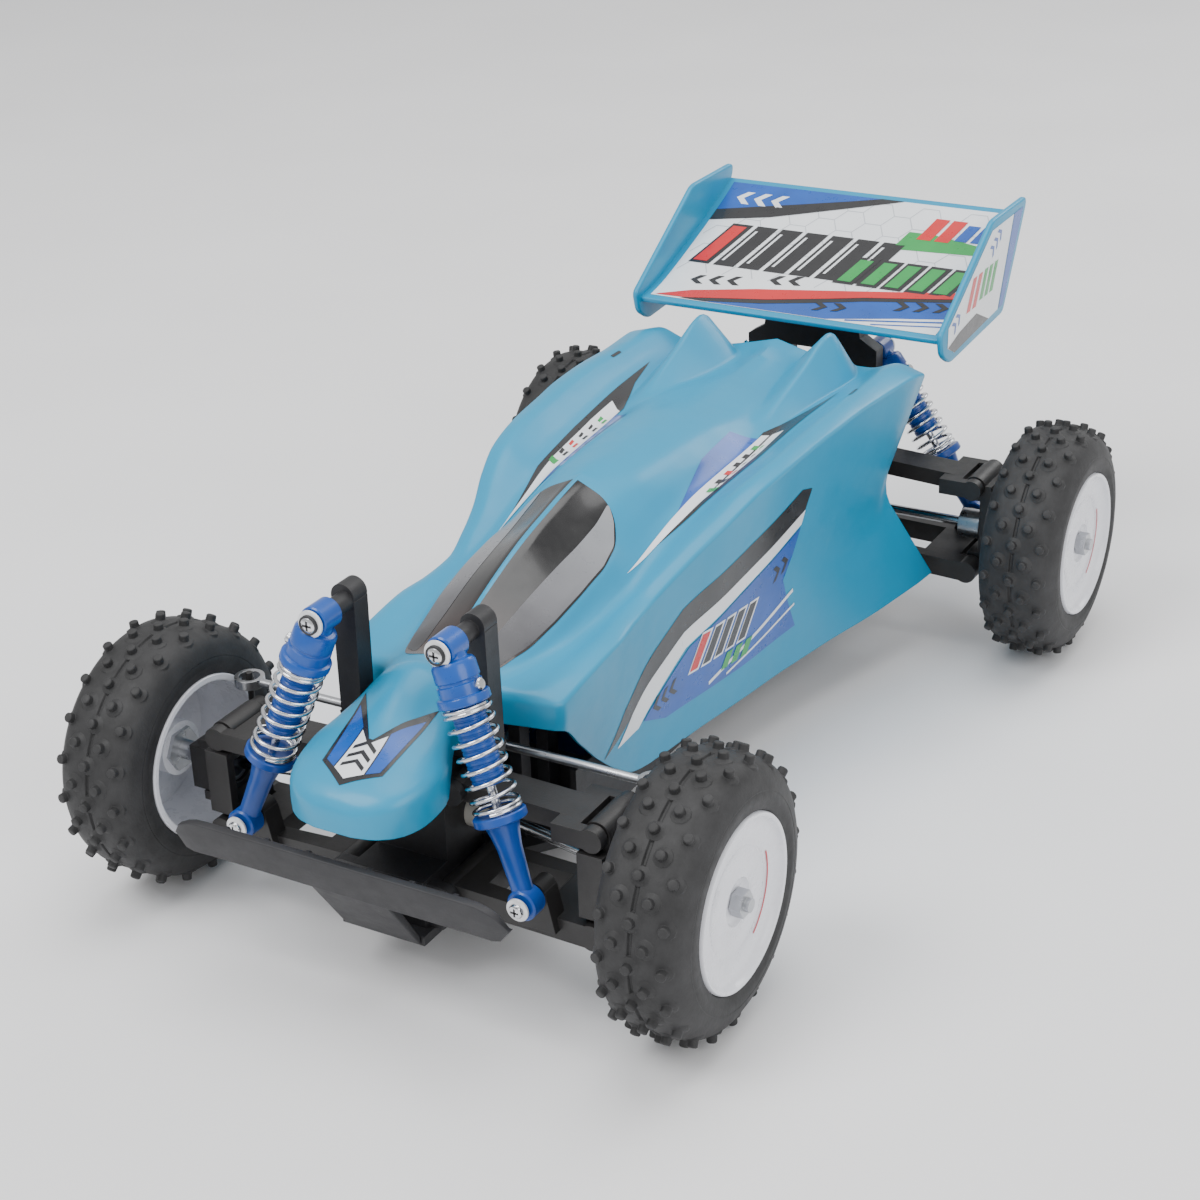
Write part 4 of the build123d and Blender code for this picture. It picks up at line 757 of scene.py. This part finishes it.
def make_shell():
    """The outer skin of the body as one smooth surface, thickened inwards."""
    rows = shell_rows()
    points = []
    for dy, half in rows:
        section = mirrored(reversed(half[1:])) + half
        points.extend(from_front_axle(x, dy + rear_sweep(dy, z), z) for x, z in section)
    columns = 2 * len(rows[0][1]) - 1
    faces = grid_faces(len(rows), columns) + [tuple(range(columns))]
    skin = mesh_object("shell_skin", points, faces, "shell")
    skin.data.materials.append(MATERIALS["shell_rim"])
    sharpen(skin, 42)
    thick = skin.modifiers.new("thickness", "SOLIDIFY")
    thick.thickness = SKIN * MM
    thick.offset = -1
    thick.use_rim = True
    thick.material_offset = 0
    thick.material_offset_rim = 1
    return fit(skin, "body_shell", "body_shell")


# ---- prints ----
FIRST_LAYER, LAYER = 0.12, 0.07
ABOVE, BESIDE = 260, 200    # where the prints are laid on from, clear of the car
VIEWS = {
    "top": (Vector((0, 0, -1)), lambda u, v: from_front_axle(u, v, ABOVE)),
    "left": (Vector((-1, 0, 0)), lambda u, v: from_front_axle(BESIDE, u, v)),
    "right": (Vector((1, 0, 0)), lambda u, v: from_front_axle(-BESIDE, u, v)),
}


def printable(piece, body, slot):
    """What lay_prints needs of a piece: a search tree of its surface and its body, with its slot, which is
    not used.
    """
    return BVHTree.FromObject(piece, bpy.context.evaluated_depsgraph_get()), body, slot


def cells_of(outline, cell):
    """A flat outline as a mesh that is cut into square cells."""
    bm = bmesh.new()
    bm.faces.new([bm.verts.new((u, v, 0)) for u, v in outline])
    for axis, normal in enumerate(((1, 0, 0), (0, 1, 0))):
        values = [p[axis] for p in outline]
        low = min(values)
        for k in range(1, int((max(values) - low) / cell) + 1):
            everything = bm.verts[:] + bm.edges[:] + bm.faces[:]
            at = Vector(normal) * (low + k * cell)
            bmesh.ops.bisect_plane(bm, geom=everything, plane_co=at, plane_no=normal)
    return bm


def print_on(outline, view, tree, colour, lift, cell):
    """A flat printed shape laid on a curved surface, as a loose piece."""
    bm = cells_of(outline, cell)
    direction, place = VIEWS[view]
    missed = []
    for vert in bm.verts:
        hit, normal, _, _ = tree.ray_cast(place(vert.co.x, vert.co.y), direction)
        if hit is None:
            missed.append(vert)
            continue
        facing = normal if normal.dot(direction) < 0 else -normal
        vert.co = hit + facing * lift * MM
    if missed:
        bmesh.ops.delete(bm, geom=missed, context="VERTS")
    bmesh.ops.recalc_face_normals(bm, faces=bm.faces)
    if sum(f.normal.dot(direction) * f.calc_area() for f in bm.faces) > 0:
        bmesh.ops.reverse_faces(bm, faces=bm.faces)
    for face in bm.faces:
        face.smooth = True
    return piece_of(bm, "print", [MATERIALS[colour]])


def lay_prints(name, shapes, view, ground, flip=False, cell=2):
    """Lays printed shapes, each a colour, a layer and an outline, on a printable piece.

    Outlines are (x, dy) for the top view and (dy, z) for the side views, in millimetres; flip mirrors x.
    """
    tree, body, slot = ground
    pieces = []
    for colour, layer, outline in shapes:
        placed = mirrored(outline) if flip else outline
        pieces.append(print_on(placed, view, tree, colour, FIRST_LAYER + layer * LAYER, cell))
    fit(joined(name, pieces), body)


def band(points, width):
    """A closed outline that follows an open line at a constant width."""
    left, right = [], []
    for i, point in enumerate(points):
        before = Vector(points[max(0, i - 1)])
        after = Vector(points[min(len(points) - 1, i + 1)])
        along = (after - before).normalized()
        side = Vector((-along.y, along.x)) * width / 2
        left.append(tuple(Vector(point) + side))
        right.append(tuple(Vector(point) - side))
    return left + right[::-1]


def chevrons(centre, heading, count, pitch, half_height, thick, reach):
    """Outlines of a row of arrowheads that point along the heading, in degrees."""
    ahead = Vector((cos(radians(heading)), sin(radians(heading))))
    side = Vector((-ahead.y, ahead.x))
    upper = [(reach, 0), (0, half_height), (-thick, half_height), (reach - thick, 0)]
    arrowhead = upper + [(-thick, -half_height), (0, -half_height)]
    shapes = []
    for k in range(count):
        tip = Vector(centre) + ahead * (k - (count - 1) / 2) * pitch
        shapes.append([tuple(tip + ahead * a + side * b) for a, b in arrowhead])
    return shapes


def bars(corner, count, width, height, gap, slant):
    """Outlines of a row of slanted bars, from its near corner."""
    low = corner[1]
    high = low + height
    shapes = []
    for k in range(count):
        left = corner[0] + k * (width + gap)
        right = left + width
        shapes.append([(left, low), (right, low), (right + slant, high), (left + slant, high)])
    return shapes


def printed(colour, layer, outlines):
    """Shapes of one colour and layer."""
    return [(colour, layer, outline) for outline in outlines]


CANOPY_OUTLINE = [(6, 14.2), (11.5, 15.6), (15.2, 19.6), (18.4, 33), (20.3, 46.5), (21, 60), (20.9, 74),
                  (19, 84), (15.2, 90.5), (10, 93.4)]
WINDOW = rounded_loop([(9.6, 17), (9.6, 30), (10.8, 49), (11.8, 71), (12.2, 84), (11.6, 92.8), (15.2, 89.6),
                       (18.7, 83.2), (20.4, 74), (20.5, 60), (19.8, 46.7), (17.9, 33.2), (14.8, 20.4)], 1.5)
CANOPY_PRINT = [
    ("canopy", 0, rounded_loop(CANOPY_OUTLINE + mirrored(reversed(CANOPY_OUTLINE)), 3)),
    ("window", 1, WINDOW),
    ("window", 1, mirrored(WINDOW)),
]
# a dark shield with blue sides, and arrowheads on its white field
NOSE_BLUE = [(5.2, -30.6), (8.7, -28.6), (10.9, -8.6), (4.6, -16.6)]
NOSE_PRINT = [
    ("black", 0, [(0, -35.6), (9.9, -29.4), (12.2, -4), (0.6, -19.8), (-0.6, -19.8), (-12.2, -4),
        (-9.9, -29.4)]),
    ("blue", 1, NOSE_BLUE),
    ("blue", 1, mirrored(NOSE_BLUE)),
    ("white", 1, [(0, -33.6), (4.8, -30.8), (4.2, -17.4), (0, -21.6), (-4.2, -17.4), (-4.8, -30.8)]),
    *printed("black", 2, chevrons((0, -25.6), 90, 3, 3.1, 3.6, 1.3, 2.2)),
]
# tapering streaks, with a row of short tilted bars, and a dark slot behind them
SHOULDER_BARS = ("green", "black", "red", "black", "black", "green")
SHOULDER_BAR = [(27.2, 3), (27.2, 0), (30.2, 1.2), (30.6, 4.2)]
SHOULDER_BARS_START, SHOULDER_BARS_PITCH = 126, 6.4
SHOULDER_PRINT = [
    ("blue", 0, [(24.9, 112), (26, 130), (26.6, 166), (19, 160), (20, 138)]),
    ("black", 0, [(26.2, 96), (31.2, 122), (33.6, 150), (36.4, 208), (32.6, 190), (26, 170), (27.4, 140)]),
    ("white", 1, [(24.6, 80), (27, 104), (30.2, 130), (32, 158), (32.2, 173), (26.4, 168), (25.6, 138),
        (24.8, 108)]),
    *[(colour, 2, [(x, y + SHOULDER_BARS_START + SHOULDER_BARS_PITCH * k) for x, y in SHOULDER_BAR])
      for k, colour in enumerate(SHOULDER_BARS)],
    ("black", 0, rounded_loop([(44.4, 196), (45.6, 196), (45.6, 202), (44.4, 202)], 0.5)),
]
FLANK_PRINT = [
    ("black", 0, [(52, 40), (62, 53), (92, 74), (123, 84), (152, 92), (159, 90), (157, 83), (128, 75),
        (94, 65), (67, 47)]),
    ("white", 1, [(60, 40), (68, 48), (94, 65), (129, 75.5), (157, 83), (156, 78), (130, 70), (96, 58.5),
        (74, 40)]),
    ("blue", 1, [(77, 41), (98, 58), (131, 69.5), (156, 77), (154, 68), (150, 60), (162, 38), (130, 36),
        (90, 36)]),
    ("white", 2, band([(112, 38.5), (158, 53)], 1.5)),
    ("white", 2, band([(122, 37.5), (160, 47)], 0.9)),
    *printed("black", 2, chevrons((88, 45), 195, 3, 4.2, 3, 1.9, 2.4)),
    *printed("black", 2, chevrons((146, 66), 15, 2, 5, 3.2, 2.2, 2.6)),
    *printed("white", 2, bars((99.2, 47.2), 5, 5.2, 13.6, 1.2, 4.4)),
    *printed("red", 3, bars((99.9, 48), 1, 3.8, 12, 2.6, 3.9)),
    *printed("black", 3, bars((106.3, 48), 4, 3.8, 12, 2.6, 3.9)),
    *printed("green", 3, bars((118, 40.4), 3, 3.6, 6, 1.8, 1.9)),
]


def make_shell_prints(shell):
    """The dark windscreen with its windows, and plain graphics in place of any lettering."""
    lay_prints("canopy", CANOPY_PRINT, "top", shell)
    lay_prints("nose_print", NOSE_PRINT, "top", shell, cell=1.5)
    for side, flip in (("left", False), ("right", True)):
        lay_prints(f"shoulder_print_{side}", SHOULDER_PRINT, "top", shell, flip)
    for side in ("left", "right"):
        lay_prints(f"flank_print_{side}", FLANK_PRINT, side, shell)


# ---- wing ----
WING_HALF, END_PLATE_THICKNESS = 58, 2.2
WING_ROWS = 14
WING_TOP = [(241, 114.5), (252, 116.6), (266, 120.9), (280, 125.8), (294, 131), (306, 136), (315, 140.3)]
WING_LOWER = (0.6, -2)    # from the upper face to the lower one, as (dy, z)
END_PLATE = [(238, 117), (284, 145.2), (316.6, 145.4), (317.1, 142.5), (297.4, 107.4), (247, 104.5),
             (240, 109)]
PAD = [(-13, 262.4), (13, 262.4), (13, 270.4), (-13, 270.4)]
PAD_LOW, PAD_HIGH = 116.6, 119.2


def make_wing():
    """A cambered plane between two end plates with rolled rims, and its pad on the stay."""
    ys, zs = zip(*WING_TOP)
    top = []
    for k in range(WING_ROWS + 1):
        y = ys[0] + (ys[-1] - ys[0]) * k / WING_ROWS
        top.append((y, monotone(ys, zs, y)))
    lower = [(y + WING_LOWER[0], z + WING_LOWER[1]) for y, z in reversed(top)]
    pieces = [plate("wing_plane", rounded_loop(top + lower, 0.7), "x", -WING_HALF, WING_HALF, "wing", 0)]
    for side in (-1, 1):
        low, high = sorted((side * WING_HALF, side * (WING_HALF + END_PLATE_THICKNESS)))
        pieces.append(plate("wing_end", rounded_loop(END_PLATE, 2.5), "x", low, high, "wing", 0.8))
    pieces.append(plate("wing_pad", rounded_loop(PAD, 2), "z", PAD_LOW, PAD_HIGH, "wing", 0.5))
    return fit(joined("wing_moulding", pieces), "chassis", "rear_wing")


def honeycomb(low, high, size, width):
    """Outlines of the thin lines of a honeycomb between two corners."""
    lines = []
    column = 0
    x = low[0]
    while x < high[0]:
        y = low[1] + (column % 2) * size * sqrt(3) / 2
        while y < high[1]:
            angles = [radians(60 * k) for k in range(4)]
            corners = [(x + size * cos(a), y + size * sin(a)) for a in angles]
            lines += [band([corners[k], corners[k + 1]], width) for k in range(3)]
            y += size * sqrt(3)
        x += size * 1.5
        column += 1
    return lines


ARROW = (7, 2.6, 2.6, 3)       # pitch, half height, thickness and reach
# white field with faint hexagons, coloured bands, arrowheads and bars
WING_PRINT = [
    ("white", 0, [(-55.5, 244), (55.5, 244), (55.5, 312.5), (-55.5, 312.5)]),
    ("blue", 2, [(-55.5, 312.5), (9, 312.5), (-6, 309.5), (-29, 303.5), (-55.5, 297)]),
    ("black", 3, [(-55.5, 297.5), (-29, 304), (-6, 309.5), (6, 312.5), (15, 312.5), (-11, 304), (-33, 296.5),
        (-55.5, 291.5)]),
    ("green", 2, [(20, 288), (23, 298), (32, 298), (55.5, 294), (55.5, 290)]),
    ("red", 3, [(-54, 244.6), (-42, 250.5), (-19, 256.5), (21, 263.5), (55.5, 269.5), (55.5, 266), (22, 260),
        (-13, 251), (-42, 245)]),
    ("black", 2, [(-44, 244.4), (-13, 251.6), (22, 260.4), (55.5, 266.2), (55.5, 264.2), (22, 257.8),
        (-13, 248), (-34, 244.2)]),
    ("blue", 1, [(-36, 244.2), (-13, 249), (22, 259), (55.5, 265.2), (55.5, 254.5), (39, 251), (14, 244.2)]),
    ("blue", 2, band([(21, 245.2), (55.4, 252.4)], 0.9)),
    ("blue", 2, band([(31, 244.8), (55.4, 249.4)], 0.7)),
    *printed("grey", 1, honeycomb((-48, 262), (52, 306), 6.2, 0.32)),
    *printed("white", 3, chevrons((-40, 305), 180, 3, 7.2, 3.2, 3, 3.4)),
    *printed("black", 2, chevrons((-36, 258.5), 188, 3, *ARROW)),
    *printed("black", 2, chevrons((-10, 263.5), 188, 2, *ARROW)),
    *printed("black", 3, chevrons((12, 252), 8, 2, *ARROW)),
    *printed("black", 3, chevrons((44, 259), 8, 3, *ARROW)),
    *printed("black", 2, bars((-52, 267), 7, 8.4, 24, 1.8, 7)),
    *printed("red", 3, bars((-50.6, 268.4), 1, 5.6, 21.2, 0, 6.2)),
    *printed("white", 3, bars((-39.6, 270), 6, 1, 18, 9.2, 5.2)),
    *printed("black", 3, bars((6.6, 266), 5, 8, 15.4, 1.2, 4.6)),
    *printed("green", 4, bars((8, 267.4), 5, 5.2, 12.6, 4, 3.8)),
    *printed("red", 3, bars((27, 294.6), 2, 5.4, 11.5, 1.4, 3.2)),
    *printed("blue", 3, bars((41, 296), 2, 4.6, 8.6, 1.4, 2.4)),
]
END_PLATE_PRINT = [
    ("white", 0, [(244, 118), (283, 141.8), (304, 142.2), (291, 110.6), (250, 107.6), (243.6, 111)]),
    ("blue", 0, [(304.6, 142.3), (313.4, 142.4), (296, 110.8), (291.8, 110.6)]),
    ("black", 1, [(244, 111), (250, 107.6), (282, 110), (270, 115.6), (254, 113.6)]),
    *printed("blue", 1, chevrons((251, 118), 30, 2, 4, 2.4, 1.6, 2)),
    *printed("blue", 1, chevrons((287, 136.6), 30, 3, 4, 2.4, 1.6, 2)),
    *printed("red", 1, bars((260, 118.4), 2, 3.6, 11, 1.8, 6)),
    *printed("green", 1, bars((272, 119.6), 3, 3.2, 10, 1.6, 5)),
]


def make_wing_prints(wing):
    """Graphics on the wing's upper face and outside both end plates."""
    lay_prints("wing_print", WING_PRINT, "top", wing, cell=4)
    for side in ("left", "right"):
        lay_prints(f"end_plate_print_{side}", END_PLATE_PRINT, side, wing, cell=4)


# ---- bumper ----
BLADE_COLUMNS = 41
BLADE_MIDDLE = (4, 44.5)    # behind the bumper's front, and height
ROUND_END = 9               # length of each rounded end
END_DROP = 1.5
# the blade's section from its top edge down the front and back up the rear face
BLADE_SECTION = [(2.6, 50), (0.1, 49.9), (1, 45), (3, 38.2), (7.6, 39.2), (6, 42.5), (3.4, 49.2)]
RIBS_X = (-38, -24, -10, 10, 24, 38)
RIB_HALF = 0.8


def make_blade(front, half):
    """The upturned blade, whose ends are rounded off by shrinking its section."""
    section = rounded_loop(BLADE_SECTION, 0.6)
    middle_y, middle_z = BLADE_MIDDLE
    points = []
    for k in range(BLADE_COLUMNS):
        x = -half + 2 * half * k / (BLADE_COLUMNS - 1)
        near_end = max(0, abs(x) - (half - ROUND_END)) / ROUND_END
        shrink = sqrt(max(0, 1 - near_end ** 2))
        keep_y = 0.4 + 0.6 * shrink
        keep_z = 0.12 + 0.88 * shrink
        for y, z in section:
            at_z = middle_z - END_DROP * near_end + (z - middle_z) * keep_z
            points.append(from_front_axle(x, front + middle_y + (y - middle_y) * keep_y, at_z))
    size = (BLADE_COLUMNS, len(section))
    faces = grid_faces(*size, close_columns=True) + end_caps(*size)
    return sharpen(mesh_object("bumper_blade", points, faces, "bumper"), 40)


def make_bumper():
    """The blade, ribs behind it and the skid plate to the tub, as one moulding."""
    low, high = box_mm("front_bumper")
    front = low.y - FRONT_Y
    skid = [(-22.2, 14), (-22.2, 17), (front + 7, 41.4), (front + 4.4, 39), (front + 6, 37.4)]
    rib = [(front + 6.2, 39.4), (front + 3.9, 48.6), (front + 5.4, 48.4), (front + 9.2, 39.6)]
    pieces = [make_blade(front, high.x), plate("bumper_skid", skid, "x", -13, 13, "bumper", 0.5)]
    for x in RIBS_X:
        pieces.append(plate("bumper_rib", rib, "x", x - RIB_HALF, x + RIB_HALF, "bumper", 0.25))
    fit(joined("bumper_moulding", pieces), "chassis", "front_bumper")


# ---- stage, in metres ----
CAMERA_AT = (334.1, -459.5, 380.6)      # millimetres, from the front axle
LOOK_AZIMUTH, LOOK_DOWN, ROLL = 30.6, 25.8, -2.2
LENS, SENSOR = 69, 36
FLOOR_HALF = 3.0
FLOOR_MOTTLE = 1000 / 9     # millimetres
DAYLIGHT = 0.75
# place, aim, size and power
LIGHTS = {
    "key": ((-0.5, -0.9, 1.3), (0, 0, 0.05), 0.8, 14),
    "fill": ((1.1, -0.5, 0.8), (0, 0, 0.05), 1, 7),
    "top": ((0, 0.2, 1.5), (0, 0, 0), 1.2, 11),
    "rim": ((0.3, 1.3, 0.9), (0, 0, 0.05), 0.7, 5),
}


def make_floor():
    """A pale flat floor, faintly uneven in colour and gloss."""
    material, tree, shader, where = new_material("floor")
    patches = noise(tree, where, FLOOR_MOTTLE, 5, 0.5)
    tree.links.new(mixed(tree, patches, (0.86, 0.86, 0.87), (0.9, 0.9, 0.91)), shader.inputs["Base Color"])
    tree.links.new(ranged(tree, patches, 0.3, 0.7, 0.45, 0.6), shader.inputs["Roughness"])
    bm = bmesh.new()
    bmesh.ops.create_grid(bm, x_segments=8, y_segments=8, size=FLOOR_HALF)
    return piece_of(bm, "floor", [material])


def make_light(name, place, aim, size, power):
    """A soft round studio light."""
    light = bpy.data.lights.new(name, "AREA")
    light.shape = "DISK"
    light.size = size
    light.energy = power
    holder = in_scene(name, light)
    holder.location = place
    holder.rotation_euler = (Vector(aim) - Vector(place)).to_track_quat("-Z", "Y").to_euler()
    return holder


def make_world():
    """Even white light from all round."""
    world = bpy.data.worlds.new("studio")
    world.use_nodes = True
    background = world.node_tree.nodes["Background"]
    background.inputs["Color"].default_value = (1, 1, 1, 1)
    background.inputs["Strength"].default_value = DAYLIGHT
    bpy.context.scene.world = world


def make_camera():
    """The camera in front of the car's left front wheel, looking down on it."""
    lens = bpy.data.cameras.new("camera")
    lens.lens = LENS
    lens.sensor_width = SENSOR
    lens.clip_start = 0.01
    camera = in_scene("camera", lens)
    azimuth = radians(LOOK_AZIMUTH)
    down = radians(LOOK_DOWN)
    looking = Vector((-sin(azimuth) * cos(down), cos(azimuth) * cos(down), -sin(down)))
    turn = looking.to_track_quat("-Z", "Y") @ Quaternion((0, 0, 1), radians(ROLL))
    camera.rotation_euler = turn.to_euler()
    camera.location = from_front_axle(*CAMERA_AT)
    bpy.context.scene.camera = camera
    return camera


def make_stage():
    """A pale floor, soft studio lights and the camera."""
    floor = make_floor()
    lights = [make_light(name, *values) for name, values in LIGHTS.items()]
    make_world()
    make_camera()


# ---- assembly ----
dress_cad()
for corner in CORNERS:
    make_tyre(corner)
    make_rim(corner)
    make_damper(corner)
make_shell_prints(printable(make_shell(), "body_shell", "shell_blue"))
make_wing_prints(printable(make_wing(), "chassis", "wing_print"))
make_bumper()
make_stage()
